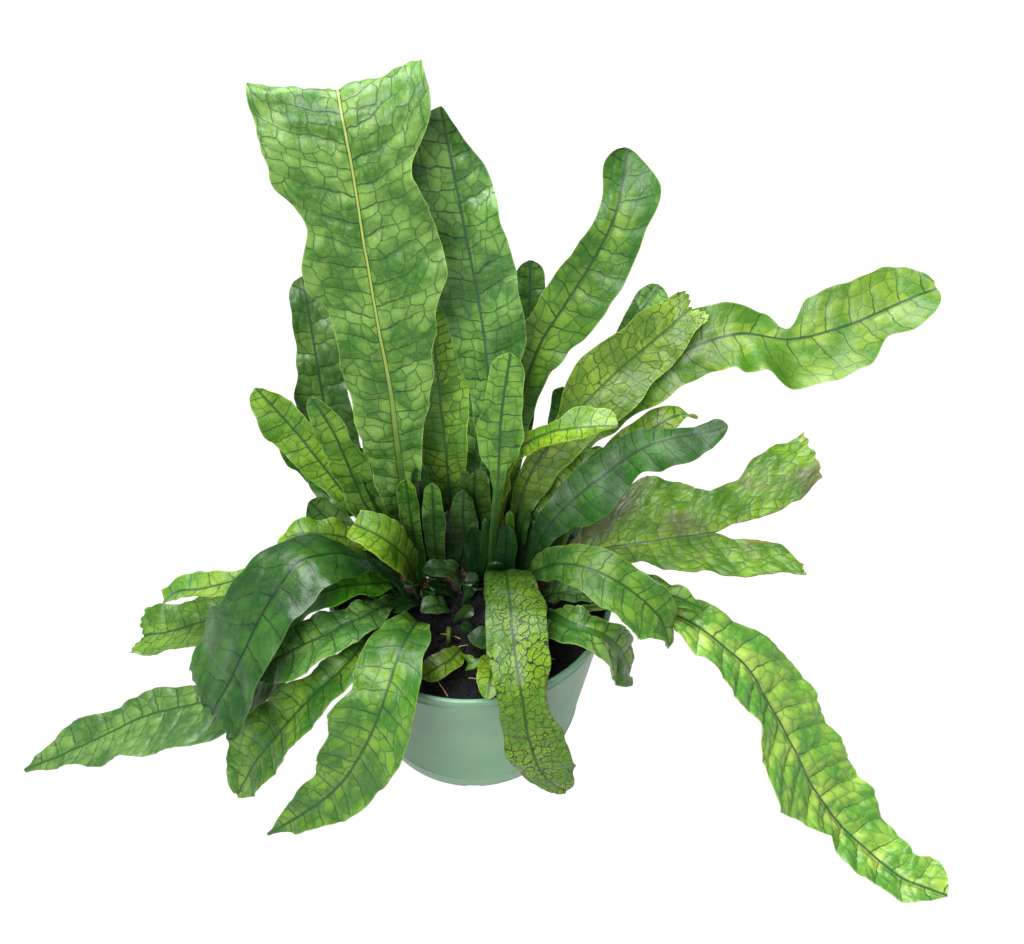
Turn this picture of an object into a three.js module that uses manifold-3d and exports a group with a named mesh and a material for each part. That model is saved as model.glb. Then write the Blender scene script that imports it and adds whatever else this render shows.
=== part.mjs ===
// A potted crocodile fern: leathery blistered fronds that stand in a creeping rhizome,
// in a plain round nursery pot filled with peat.
// Millimetres, +Z up. The pot stands on z = 0 with its axis on the Z axis. -Y is the front, +X the right.
import * as THREE from "three";
import { mergeVertices } from "three/addons/utils/BufferGeometryUtils.js";
import Module from "manifold-3d";

const wasm = await Module();
wasm.setup();

// Pot
const potHeight = 110;
const rimRadius = 77.5;
const footRadius = 59;
const wall = 1.5;
const floorThickness = 3.6;
const rimBead = 1.2;
const rimDepth = 4;
const ridge = 0.7;
const potSides = 32;
const drains = 6;
const drainRadius = 4;
const drainCircle = 44;
const channelWidth = 8;
const channelDepth = 2;
const channelStart = 32;

// Peat and rhizome
const soilTop = 100;
const soilGap = 0.4;
const soilRoughness = 1.3;
const soilSides = 26;
const rhizomeRadius = 6.5;
const rhizomeGap = 0.5;
const rhizomeSides = 6;
const rhizomeKnob = 0.16;
const rhizomePaths = [
  [[-50, 14, 97], [-34, 9, 98], [-16, 6, 98], [2, 12, 98], [20, 13, 98], [37, 8, 98], [47, 2, 97]],
  [[-4, 8, 98], [2, 24, 98], [14, 35, 98], [30, 38, 97]],
];
const finest = 0.08;

// Fronds
const buriedDepth = 5;
const bladeThickness = 0.8;
const stemThickness = 3.4;
const stemEdge = 1.2;
const ribHeight = 0.5;
const keelHeight = 1.5;
const blister = 0.55;
const raggedTip = 4;
const smallFrond = 6.5;
const stationSpacing = 13.4;
const stemSpacing = 16;
const holeGap = 0.7;
const holeRise = 12;
const holeSides = 5;

const potColour = "#a3c6ab";
const soilColour = "#2b221c";
const rhizomeColour = "#5b3f28";
const tones = {
  bright: "#5f9a35",
  mid: "#57893a",
  dark: "#3f6b38",
  deep: "#355b33",
  lime: "#8fbb45",
  lime_mid: "#7ba741",
  light: "#7fae54",
  olive: "#7d8238",
  olive_green: "#6d8a3c",
  olive_brown: "#7c6d3a",
  olive_net: "#6f7f3f",
  green_dark_edge: "#557f38",
  glaucous: "#5f9158",
  grey: "#5d8468",
  blue: "#4d7f66",
  net: "#6a9a49",
  net_green: "#5f9446",
  yellow: "#8fae46",
  bruised: "#7f9a48",
  brown: "#84653c",
};

// Each frond is drawn by its midrib, from the peat to the tip. `facing` is the heading, in degrees about Z, that
// it arches towards, `plus` and `minus` are its half widths to each side at even steps along it, `wave` is the
// height, number and phase of its margin waves, and `cup` lifts its margins.
const fronds = [
  {
    name: "tall_front", tone: "bright", facing: 90, cup: 0.12, wave: [2.5, 7, 0.5], tip: "cut",
    spine: [
      [-30, 18, 100], [-33, 20, 135], [-36, 23, 178], [-38, 29, 222], [-42, 35, 262], [-46, 43, 305],
      [-49, 51, 338], [-52, 58, 357], [-54, 67, 363], [-56, 77, 354], [-58, 84, 335], [-59, 87, 312],
    ],
    plus: [2, 5, 10, 14, 17, 20, 21, 21, 30, 25, 35, 38, 39, 31, 24],
    minus: [2, 4, 8, 11, 13, 19, 24, 29, 37, 35, 28, 40, 39, 36, 26],
    roll: [0, 0, 0, -3, -6, -6],
  },
  {
    name: "tall_centre", tone: "dark", facing: 90, cup: 0.15, wave: [2.5, 6, 1], tip: "round",
    spine: [
      [6, 30, 100], [8, 33, 140], [11, 38, 182], [10, 44, 224], [6, 51, 262], [0, 60, 296],
      [-5, 68, 324], [-10, 78, 350],
    ],
    plus: [2, 3, 5, 10, 16, 21, 22, 14],
    minus: [2, 3, 5, 14, 21, 20, 16.5, 3],
  },
  {
    name: "back_small", tone: "dark", facing: 90, cup: 0.15, wave: [1.5, 5, 0], tip: "round",
    spine: [[16, 44, 100], [21, 57, 138], [27, 72, 185], [31, 85, 225], [32, 100, 252]],
    plus: [2, 4, 9, 10, 8],
  },
  {
    name: "tall_right", tone: "mid", facing: 85, cup: 0.15, wave: [2, 5, 2], tip: "round",
    spine: [
      [20, 31, 100], [20, 39, 140], [25, 49, 190], [36, 56, 230], [48, 60, 252], [62, 66, 276],
      [72, 73, 298], [77, 89, 323],
    ],
    plus: [2, 3, 6, 10, 13, 12.5, 8.5, 10],
    minus: [2, 2.5, 3, 5, 7, 7, 9, 10, 15, 18, 19, 18, 16.5, 18.5, 8],
  },
  {
    name: "back_right", tone: "dark", facing: 80, cup: 0.15, wave: [1.5, 5, 0], tip: "round",
    spine: [[33, 32, 100], [39, 43, 150], [52, 62, 178], [75, 82, 205], [101, 103, 234]],
    plus: [2, 3, 3, 3, 8],
    minus: [2, 3, 4, 10, 12],
  },
  {
    name: "olive_broad", tone: "olive", facing: 85, cup: 0.15, wave: [1.5, 4, 0], tip: "cut",
    spine: [
      [27, 20, 100], [25, 24, 140], [34, 32, 168], [54, 43, 194], [78, 54, 217], [100, 62, 235],
      [116, 71, 246],
    ],
    plus: [2, 3, 6, 6, 18, 16, 11],
    minus: [2, 5, 12, 15, 19, 16, 10],
  },
  {
    name: "lime_fold", tone: "lime", facing: 20, cup: 0.3, wave: [1.5, 5, 0], tip: "round",
    spine: [
      [14, 22, 100], [16, 23, 130], [19, 22, 160], [22, 20, 182], [29, 15, 200], [46, 8, 216],
      [73, 3, 223],
    ],
    plus: [2, 4, 6, 6, 5, 5, 5, 5, 4.5, 10.5, 12],
    minus: [2, 5, 6, 6, 10, 7],
  },
  {
    name: "mid_bright", tone: "glaucous", facing: 90, cup: 0.15, wave: [1.2, 4, 0], tip: "round",
    spine: [[11, 5, 100], [12, 6, 140], [15, 9, 180], [17, 12, 222], [19.5, 15, 243], [21.5, 17, 257]],
    plus: [2, 2, 2, 2, 2, 2, 4, 10, 11.5, 9.5, 8.5, 8],
  },
  {
    name: "right_long_top", tone: "light", facing: 60, cup: 0.15, wave: [2, 6, 1], tip: "round",
    spine: [
      [42, 28, 100], [46, 39, 135], [60, 52, 172], [82, 58, 200], [108, 60, 222], [137, 62, 233],
      [163, 60, 231], [193, 63, 238], [218, 68, 248], [237, 74, 253],
    ],
    plus: [2, 2.5, 3, 4, 4.5, 6, 11, 13, 14, 16, 18, 17, 12.5, 5.5, 20, 20, 20, 21.5, 22],
    minus: [2, 2.5, 3, 4.5, 6, 9, 13, 14.5, 17, 16, 15.5, 17, 27, 28, 26, 24.5, 13, 18, 18],
    roll: [0, 0, 0, 0, 8, 22, 28, 18, 8, 0],
  },
  {
    name: "lime_small_right", tone: "lime", facing: 60, cup: 0.15, wave: [1.5, 5, 0], tip: "round",
    spine: [[46, 12, 100], [51, 23, 126], [68, 39, 149], [90, 48, 173], [112, 52, 187], [121, 52, 185]],
    plus: [2, 4, 9.5, 9, 9, 4],
    minus: [2, 3, 6, 8, 8, 3],
  },
  {
    name: "right_dark", tone: "blue", facing: 60, cup: 0.15, wave: [1.5, 4, 0], tip: "round",
    spine: [
      [36, 6, 100], [36, 9, 130], [48, 14, 152], [68, 20, 171], [93, 26, 189], [119, 30, 193],
      [133, 32, 197],
    ],
    plus: [2, 4, 8, 11, 11, 5, 6],
    minus: [2, 3, 4, 7, 10, 16, 19, 14, 11, 18, 18, 11, 6],
  },
  {
    name: "right_forked", tone: "bruised", facing: 5, cup: 0, wave: [2, 5, 0], tip: "cut",
    spine: [
      [44, 4, 100], [46, 6, 116], [62, 8, 126], [91, 10, 132], [120, 12, 136], [150, 14, 140],
      [172, 15, 145], [192, 15, 151],
    ],
    plus: [2, 6, 12, 25, 40, 47, 42, 29, 36, 49, 57, 62],
    minus: [2, 4, 7, 12, 15, 20, 26, 31, 34, 36, 36, 30],
  },
  {
    name: "right_arch", tone: "mid", facing: 0, cup: 0.15, wave: [1.5, 4, 0], tip: "round",
    spine: [
      [30, -4, 100], [31, -4, 120], [47, -12, 140], [67, -23, 146], [87, -33, 138], [98, -39, 128],
      [102, -48, 116],
    ],
    plus: [2, 5, 9, 12, 12, 12, 9],
    minus: [2, 5, 9, 13, 18, 20, 11],
    roll: [0, 0, 5, 15, 25, 25, 15],
  },
  {
    name: "right_long_low", tone: "yellow", facing: -35, cup: 0.15, wave: [2.5, 8, 0], tip: "round",
    spine: [
      [54, -18, 100], [58, -20, 111], [72, -21, 116], [90, -19, 114], [111, -26, 113], [131, -37, 106],
      [148, -46, 92], [159, -55, 76], [171, -66, 58], [184, -79, 36], [200, -91, 17], [216, -103, 7],
      [233, -117, 3], [254, -126, 3],
    ],
    plus: [2, 4, 9, 11, 16, 19, 27, 28, 29, 30, 28, 20, 15, 27],
    minus: [2, 4, 8, 12, 15, 21, 17.5, 27, 37, 21, 13, 18, 12, 10],
  },
  {
    name: "right_tucked", tone: "mid", facing: -15, cup: 0.15, wave: [1.5, 5, 0], tip: "round",
    spine: [
      [56, 3, 100], [60, 1, 112], [74, -5, 119], [94, -14, 122], [111, -22, 123], [122, -27, 120],
    ],
    plus: [2, 3, 6, 8, 7, 3],
  },
  {
    name: "front_right_arch", tone: "bright", facing: -20, cup: 0.15, wave: [1.5, 3, 0], tip: "round",
    spine: [
      [42, -20, 100], [43, -28, 116], [54, -45, 129], [67, -48, 126], [77, -46, 110], [84, -46, 91],
    ],
    plus: [2, 4, 10, 9, 12, 11],
    minus: [2, 5, 12, 15, 18, 14],
  },
  {
    name: "front_netted", tone: "net", facing: -90, cup: -0.1, wave: [1.5, 5, 0], tip: "round",
    spine: [
      [18, 4, 100], [18, -3, 122], [19, -16, 137], [21, -38, 142], [23, -62, 138], [27, -82, 122],
      [31, -90, 95], [39, -92, 66], [51, -90, 49],
    ],
    plus: [2, 8, 15, 18, 17, 12, 18, 18, 8],
    minus: [2, 8, 12, 13, 13, 12, 13, 12, 5],
  },
  {
    name: "baby_left", tone: "lime", facing: 220, cup: 0.15, wave: [0.5, 2, 0], tip: "round",
    spine: [[-6, -37, 100], [-6, -43, 106], [-10, -51, 109], [-16, -56, 110], [-24, -60, 107]],
    plus: [1.5, 4, 7, 7.5, 5],
  },
  {
    name: "baby_mid", tone: "lime", facing: 20, cup: 0.15, wave: [0.5, 2, 0], tip: "round",
    spine: [[0, -43, 100], [-1, -49, 107], [0, -53, 110], [3, -54, 111], [6, -52, 111]],
    plus: [1.3, 3, 5, 4, 2],
  },
  {
    name: "baby_down", tone: "lime", facing: -90, cup: 0.15, wave: [0.5, 2, 0], tip: "round",
    spine: [[13, -42, 100], [13, -47, 109], [12, -60, 115], [11, -72, 117], [10, -79, 115]],
    plus: [1.5, 4, 7, 7, 4],
  },
  {
    name: "front_left_near", tone: "mid", facing: -120, cup: 0.15, wave: [2, 6, 0], tip: "point",
    spine: [
      [-28, -22, 100], [-27, -30, 114], [-28, -44, 128], [-33, -64, 134], [-40, -84, 122],
      [-49, -93, 100], [-66, -97, 66], [-87, -98, 40], [-109, -98, 18],
    ],
    plus: [2, 6, 12, 19, 21, 18.5, 15, 8, 1],
    minus: [2, 8, 16, 18, 23, 18, 13, 9, 1],
  },
  {
    name: "front_left_far", tone: "mid", facing: -145, cup: 0.15, wave: [2, 5, 0], tip: "round",
    spine: [
      [-44, -18, 100], [-46, -26, 111], [-52, -42, 118], [-60, -57, 116], [-76, -66, 104],
      [-92, -71, 86], [-109, -77, 64], [-126, -84, 34],
    ],
    plus: [2, 4, 9, 13, 14, 16, 15, 6],
    minus: [2, 4, 7, 10.5, 15, 21, 25, 9],
  },
  {
    name: "left_lowest", tone: "grey", facing: 195, cup: 0.15, wave: [2, 6, 0], tip: "point",
    spine: [
      [-52, -8, 100], [-55, -14, 110], [-68, -32, 118], [-89, -46, 106], [-112, -52, 92],
      [-133, -54, 80], [-174, -52, 62], [-211, -55, 40], [-251, -60, 19],
    ],
    plus: [2, 3, 8, 20, 27, 26, 21, 11, 1],
    minus: [2, 3, 8, 10, 12, 12.5, 13, 16, 2],
  },
  {
    name: "left_dark_big", tone: "deep", facing: 215, cup: -0.1, wave: [1.5, 5, 0], tip: "cut",
    spine: [
      [-36, -6, 100], [-38, -8, 116], [-50, -8, 134], [-66, -14, 150], [-84, -26, 157],
      [-97, -44, 150], [-107, -60, 138], [-117, -70, 121], [-124, -76, 110], [-129, -80, 102],
    ],
    plus: [2, 3, 8, 16, 21, 21, 18, 17, 20, 20],
    minus: [2, 3, 8, 13, 20, 26, 33, 40, 39, 31],
  },
  {
    name: "left_tip_high", tone: "lime", facing: 180, cup: 0.15, wave: [1.5, 5, 0], tip: "round",
    spine: [
      [-46, 20, 100], [-52, 22, 112], [-66, 24, 119], [-83, 21, 127], [-97, 19, 128], [-106, 16, 121],
    ],
    plus: [2, 3, 8, 10, 9, 5],
  },
  {
    name: "left_lime", tone: "light", facing: 178, cup: 0.15, wave: [1.5, 4, 0], tip: "point",
    spine: [
      [-53, 14, 100], [-59, 12, 118], [-80, 2, 130], [-109, -9, 130], [-137, -14, 124],
      [-156, -12, 117], [-166, -11, 108],
    ],
    plus: [2, 4, 9, 10, 10, 7, 2],
    minus: [2, 4, 7, 9, 6, 11, 6],
  },
  {
    name: "left_cut", tone: "olive_green", facing: 185, cup: 0.15, wave: [1.5, 4, 0], tip: "cut",
    spine: [
      [-54, 4, 100], [-58, 3, 111], [-75, -2, 117], [-98, -8, 111], [-122, -13, 105], [-144, -16, 98],
      [-164, -18, 91], [-184, -16, 84],
    ],
    plus: [2, 3, 7, 13, 16, 18, 16, 12],
    minus: [2, 3, 7, 12, 13, 15, 17, 17],
  },
  {
    name: "left_mid_upper", tone: "green_dark_edge", facing: 195, cup: 0.15, wave: [1.5, 5, 0], tip: "round",
    spine: [
      [-44, 2, 100], [-45, -3, 114], [-53, -14, 126], [-72, -22, 131], [-93, -27, 124],
      [-110, -30, 112],
    ],
    plus: [2, 5, 9, 13, 16, 9],
    minus: [2, 5, 8, 9, 9, 5],
  },
  {
    name: "left_mid_lower", tone: "dark", facing: 215, cup: 0.15, wave: [1.5, 5, 0], tip: "round",
    spine: [
      [-42, -10, 100], [-43, -17, 113], [-53, -34, 125], [-75, -50, 127], [-94, -54, 118],
      [-109, -56, 107],
    ],
    plus: [2, 5, 12, 16, 17, 9],
    minus: [2, 5, 9, 12, 11, 5],
  },
  {
    name: "left_upper_lime", tone: "lime_mid", facing: 90, cup: 0.15, wave: [1.5, 5, 0], tip: "round",
    spine: [
      [-43, 30, 100], [-50, 31, 118], [-66, 34, 140], [-80, 40, 162], [-95, 46, 185], [-111, 52, 206],
    ],
    plus: [2, 4, 6, 11, 14, 9],
    minus: [2, 3, 5, 8, 11, 6],
  },
  {
    name: "left_upper_mid", tone: "mid", facing: 90, cup: 0.15, wave: [1.5, 5, 0], tip: "round",
    spine: [
      [-38, 22, 100], [-43, 23, 118], [-56, 26, 143], [-62, 29, 163], [-69, 32, 190], [-76, 35, 206],
      [-80, 37, 212],
    ],
    plus: [2, 5, 8, 9, 9, 6],
    minus: [2, 7, 11, 12, 8, 5],
  },
  {
    name: "left_upper_olive", tone: "olive_brown", facing: 90, cup: 0.15, wave: [1.5, 5, 0], tip: "round",
    spine: [[-52, 33, 100], [-57, 37, 116], [-73, 47, 132], [-93, 52, 154], [-105, 53, 170]],
    plus: [2, 4, 7, 8, 5],
  },
  {
    name: "back_left_tall", tone: "grey", facing: 90, cup: 0.15, wave: [2, 5, 0], tip: "round",
    spine: [
      [-45, 43, 100], [-54, 51, 118], [-70, 60, 136], [-79, 68, 168], [-83, 79, 208], [-87, 94, 246],
    ],
    plus: [2, 4, 18, 24, 18, 16, 14.5, 11.5, 8.5, 9, 8],
    minus: [2, 6, 15, 15, 14, 8],
  },
  {
    name: "front_lime_curl", tone: "lime", facing: 165, cup: 0.1, wave: [1, 2, 0], tip: "point",
    spine: [[-30, 0, 100], [-31, -6, 124], [-34, -13, 148], [-42, -16, 163], [-58, -11, 169]],
    plus: [1.5, 3, 10, 13, 9],
    minus: [1.5, 3, 8, 13, 10],
  },
  {
    name: "netted_upright", tone: "net_green", facing: 90, cup: 0.15, wave: [0.5, 2, 0], tip: "round",
    spine: [[-28, 7, 100], [-29, 7, 125], [-31, 9, 155], [-32, 10, 180]],
    plus: [2, 4.5, 5.5, 5],
    minus: [2, 4.5, 5, 5],
  },
  {
    name: "small_upright", tone: "glaucous", facing: 90, cup: 0.15, wave: [0.5, 2, 0], tip: "round",
    spine: [[-18, 11, 100], [-19, 10, 130], [-19, 11, 160], [-19, 12, 175]],
    plus: [2, 5, 6, 4.5],
  },
  {
    name: "olive_behind", tone: "olive_net", facing: 90, cup: 0.15, wave: [1.5, 4, 0], tip: "round",
    spine: [
      [-12, 32, 100], [-12, 38, 128], [-13, 44, 156], [-15, 50, 192], [-17, 56, 226], [-17, 62, 258],
    ],
    plus: [2, 6, 13, 14, 14, 12],
    minus: [2, 6, 11, 15, 16, 10],
  },
  {
    name: "dying_brown", tone: "brown", facing: 90, cup: 0.15, wave: [1, 2, 0], tip: "round",
    spine: [[-2, 14, 100], [-3, 16, 125], [-4, 18, 150], [-3, 20, 162]],
    plus: [1.5, 6, 8, 5],
  },
  {
    name: "stub_broad", tone: "olive_green", facing: 90, cup: 0.15, wave: [0.8, 2, 0], tip: "cut",
    spine: [[2, 22, 100], [2, 23, 130], [2, 25, 158], [3, 27, 172]],
    plus: [2, 6.5, 9, 8],
  },
  {
    name: "spear_mid", tone: "bright", facing: 90, cup: 0.15, wave: [0, 1, 0], tip: "round",
    spine: [[7, 11, 100], [8, 11, 130], [8, 12, 148]],
    plus: [2, 3, 2],
  },
  {
    name: "spear_lime", tone: "lime", facing: 90, cup: 0.15, wave: [0, 1, 0], tip: "round",
    spine: [[21, 12, 100], [21, 12, 125], [21, 13, 153]],
    plus: [1.5, 3.2, 2.2],
  },
  {
    name: "baby_dark_left", tone: "dark", facing: 200, cup: 0.15, wave: [0.3, 1, 0], tip: "round",
    spine: [[-12, -12, 100], [-14, -14, 107], [-18, -17, 112], [-22, -20, 114], [-26, -22, 113]],
    plus: [1.3, 4, 6, 6, 4],
  },
  {
    name: "baby_blue", tone: "grey", facing: 180, cup: 0.15, wave: [0.3, 1, 0], tip: "round",
    spine: [[12, -31, 100], [10, -35, 106], [5, -36, 109], [-1, -35, 109]],
    plus: [1.5, 5, 7, 3],
  },
  {
    name: "spoon_right", tone: "glaucous", facing: 90, cup: 0.15, wave: [0, 1, 0], tip: "round",
    spine: [[-8.5, -18, 100], [-5, -18, 105], [1, -16, 110]],
    plus: [1.2, 3, 5.5],
    minus: [1.2, 3, 5],
  },
  {
    name: "spoon_front", tone: "blue", facing: 180, cup: 0.15, wave: [0, 1, 0], tip: "round",
    spine: [[2, -26, 100], [0, -27, 105], [-5, -27, 108]],
    plus: [1, 3, 3.5],
  },
  {
    name: "spoon_back", tone: "glaucous", facing: 90, cup: 0.15, wave: [0, 1, 0], tip: "round",
    spine: [[-4, -6, 100], [-3, -7, 106], [0, -6, 112]],
    plus: [1, 1.4, 3.4],
  },
  {
    name: "back_dark_wavy", tone: "dark", facing: 80, cup: 0.15, wave: [1, 4, 0], tip: "round",
    spine: [[32, 58, 100], [36, 62, 122], [45, 69, 153], [50, 74, 188]],
    plus: [2, 3, 5, 5],
    minus: [2, 3, 5, 4],
  },
  {
    name: "right_inner_upper", tone: "lime_mid", facing: 60, cup: 0.15, wave: [1.5, 5, 0], tip: "round",
    spine: [[33, 14, 100], [36, 20, 126], [48, 33, 150], [63, 39, 166], [71, 42, 172]],
    plus: [1.8, 4, 6, 6, 4],
  },
  {
    name: "right_inner_brown", tone: "olive_brown", facing: 60, cup: 0.15, wave: [1.5, 5, 0], tip: "round",
    spine: [[27, 11, 100], [26, 14, 120], [28, 17, 138], [31, 19, 148]],
    plus: [1.6, 3, 4, 3],
  },
  {
    name: "right_under_dark", tone: "dark", facing: -5, cup: 0.15, wave: [1.5, 5, 0], tip: "round",
    spine: [[38, -9, 100], [41, -10, 111], [50, -12, 117], [61, -14, 119], [70, -15, 118]],
    plus: [2, 6, 10, 10, 6],
    minus: [2, 5, 8, 8, 5],
  },
  {
    name: "back_low_left", tone: "dark", facing: 90, cup: 0.15, wave: [1.5, 4, 0], tip: "round",
    spine: [
      [-14, 46, 100], [-17, 54, 125], [-25, 74, 158], [-31, 100, 174], [-35, 128, 168],
      [-38, 150, 148],
    ],
    plus: [2, 6, 12, 14, 13, 6],
  },
  {
    name: "back_low_right", tone: "dark", facing: 80, cup: 0.15, wave: [1.5, 4, 1], tip: "round",
    spine: [[0, 44, 100], [0, 54, 128], [4, 76, 160], [9, 102, 178], [15, 130, 174], [20, 152, 156]],
    plus: [2, 5, 10, 13, 13, 6],
  },
  {
    name: "left_grey_low", tone: "grey", facing: 145, cup: 0.15, wave: [1, 2, 0], tip: "round",
    spine: [[-56, 23, 100], [-63, 27, 110], [-72, 32, 116], [-81, 37, 122], [-91, 42, 131]],
    plus: [2, 5, 10, 13, 10],
    minus: [2, 4, 8, 11, 9],
  },
  {
    name: "crown_left_arch", tone: "dark", facing: 180, cup: 0.15, wave: [0.5, 2, 0], tip: "round",
    spine: [[-6, 4, 100], [-8, 3, 113], [-14, 1, 120], [-21, 0, 122], [-26, 0, 121]],
    plus: [2, 4, 6, 6, 4],
  },
];

// The forked frond splits along its midrib from `start`: each half then keeps its own distance from the
// midrib, and the short lobe ends early.
const fork = {
  frond: "right_forked", start: 0.63,
  plus: { gap: [0, 4, 6, 12, 25], end: 1 },
  minus: { gap: [0, 7, 9, 15, 30], end: 0.88 },
};

// A young frond still rolled up, on a short stem.
const coil = {
  name: "fiddlehead", tone: "lime", foot: [-9, -27, 100], lean: [-2, -3, 8], radius: 4.2, endRadius: 1.6,
  turns: 1.15, pointsPerTurn: 8, spacing: 2.8, halfWidths: [1.4, 1.4, 1.2, 0.9],
};

const vector = (p) => new THREE.Vector3(p[0], p[1], p[2]);
const clamp = THREE.MathUtils.clamp;
const lerp = THREE.MathUtils.lerp;
const smooth = (t) => t * t * (3 - 2 * t);

// The value of an evenly spaced list at t from 0 to 1, eased from one entry to the next.
function listValue(list, t) {
  if (list.length === 1) return list[0];
  const x = clamp(t, 0, 1) * (list.length - 1);
  const i = Math.min(Math.floor(x), list.length - 2);
  return lerp(list[i], list[i + 1], smooth(x - i));
}

// The spine of the rolled frond: up its stem, then a spiral in the plane across X.
function coiledFrond() {
  const spine = [coil.foot];
  const start = vector(coil.foot).add(vector(coil.lean));
  const middle = start.clone().add(new THREE.Vector3(0, -coil.radius, 0));
  const steps = Math.round(coil.turns * coil.pointsPerTurn);
  for (let i = 0; i <= steps; i++) {
    const angle = (2 * Math.PI * i) / coil.pointsPerTurn;
    const radius = lerp(coil.radius, coil.endRadius, i / steps);
    spine.push([middle.x, middle.y + radius * Math.cos(angle), middle.z + radius * Math.sin(angle)]);
  }
  return {
    name: coil.name, tone: coil.tone, facing: 90, cup: 0, wave: [0, 1, 0], tip: "cut",
    spine, plus: coil.halfWidths,
  };
}

// What the shape of a frond is worked out from: its curve, its length and its two lists of half widths. The
// midrib is carried on straight down into the peat.
function outlineOf(frond) {
  const points = frond.spine.map(vector);
  const down = points[0].clone().sub(points[1]).setLength(buriedDepth);
  const curve = new THREE.CatmullRomCurve3([points[0].clone().add(down), ...points]);
  curve.arcLengthDivisions = 60 * points.length;
  const plus = frond.plus;
  const minus = frond.minus ?? frond.plus;
  return { curve, length: curve.getLength(), plus, minus, widest: Math.max(...plus, ...minus) };
}

// The share of the part above the peat that lies before s, a place along the whole midrib from 0 to 1.
function aboveSoil(outline, s) {
  return clamp((s * outline.length - buriedDepth) / (outline.length - buriedDepth), 0, 1);
}

// The directions across the blade and out of its upper side at s.
function directionsAt(frond, outline, s) {
  const tangent = outline.curve.getTangentAt(s);
  const heading = THREE.MathUtils.degToRad(frond.facing);
  const level = new THREE.Vector3(-Math.sin(heading), Math.cos(heading), 0);
  level.addScaledVector(tangent, -level.dot(tangent)).normalize();
  const roll = THREE.MathUtils.degToRad(listValue(frond.roll ?? [0], s));
  const across = level.applyAxisAngle(tangent, roll);
  return { across, normal: new THREE.Vector3().crossVectors(tangent, across) };
}

// The half width on one side, 1 or -1, at s, drawn in to a round end at the tip.
function halfWidth(frond, outline, s, side) {
  const width = listValue(side > 0 ? outline.plus : outline.minus, aboveSoil(outline, s));
  if (frond.tip !== "round") return width;
  const tipWidth = (outline.plus.at(-1) + outline.minus.at(-1)) / 2;
  const roundFrom = 1 - Math.min(0.5, (tipWidth / outline.length) * 1.2);
  const e = Math.max(0, (s - roundFrom) / (1 - roundFrom));
  return width * Math.sqrt(Math.max(1 - e * e, 0.02));
}

// 0 on the bare stem, 1 where the blade is wide.
function bladeShare(outline, s) {
  const t = aboveSoil(outline, s);
  const wide = Math.max(listValue(outline.plus, t), listValue(outline.minus, t));
  return clamp((wide - 2) / 3, 0, 1);
}

// The distance from the midrib to the inner edge of a lobe past the fork.
function forkGap(frond, s, side) {
  if (frond.name !== fork.frond || s <= fork.start) return 0;
  const lobe = side > 0 ? fork.plus : fork.minus;
  return listValue(lobe.gap, (s - fork.start) / (lobe.end - fork.start));
}

// Stations along the midrib: few on the bare stem, even ones on the blade and closer ones at a round end.
function stationsOf(frond, outline) {
  let stemEnd = buriedDepth / outline.length;
  while (stemEnd < 0.9 && bladeShare(outline, stemEnd) < 0.15) stemEnd += 0.01;
  const stops = [0, stemEnd];
  if (frond.name === fork.frond) stops.push(fork.start, fork.minus.end);
  stops.push(1);
  const bladeSpacing = outline.widest < smallFrond ? stationSpacing * 0.62 : stationSpacing;
  const coiled = frond.name === coil.name;
  const stations = [0];
  for (let k = 1; k < stops.length; k++) {
    const span = stops[k] - stops[k - 1];
    const spacing = coiled ? coil.spacing : k === 1 ? stemSpacing : bladeSpacing;
    const steps = Math.max(1, Math.round((span * outline.length) / spacing));
    for (let i = 1; i <= steps; i++) stations.push(stops[k - 1] + (span * i) / steps);
  }
  if (frond.tip === "round") {
    const step = 1 - stations.at(-2);
    stations.splice(-1, 1, 1 - step * 0.45, 1 - step * 0.12, 1);
  }
  return stations;
}

// One point of a frond's sheet: its middle, its normal and the thickness above and below. `place` is 0 at the
// midrib, or at the inner edge of a lobe, and 1 at the margin.
function sheetPoint(frond, outline, s, side, place, row) {
  const raggedness = frond.tip === "cut" ? raggedTip * smooth(Math.max(0, (s - 0.8) / 0.2)) : 0;
  const bite = (1 - Math.cos(5 * side * place + frond.facing)) / 2;
  const along = s - (raggedness * bite) / outline.length;
  const { across, normal } = directionsAt(frond, outline, along);
  const gap = forkGap(frond, s, side);
  const width = halfWidth(frond, outline, s, side);
  const offset = gap + Math.max(width - gap, 0.5) * place;
  const q = Math.min(1, offset / width);
  const blade = bladeShare(outline, s);
  const [height, count, phase] = frond.wave;
  const wave = height * Math.sin(2 * Math.PI * count * s + phase + (side > 0 ? 0 : 2.2));
  const inBlade = place > 0 && place < 1;
  const blistered = inBlade ? blister * (row % 2 ? 1 : -1) : 0;
  const lift = blade * (frond.cup * width * q ** 2 + wave * q ** 2.5 + blistered);
  const ribbed = gap > 0 ? inBlade : place === 0;
  const stem = lerp(Math.min(stemThickness / 2, outline.plus[0]), stemEdge / 2, place ** 1.6);
  const middle = outline.curve.getPointAt(along);
  middle.addScaledVector(across, side * offset).addScaledVector(normal, lift);
  return {
    middle,
    normal,
    up: lerp(stem, ribbed ? ribHeight : bladeThickness / 2, blade),
    down: lerp(stem, ribbed ? lerp(keelHeight, bladeThickness, s) : bladeThickness / 2, blade),
  };
}

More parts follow.
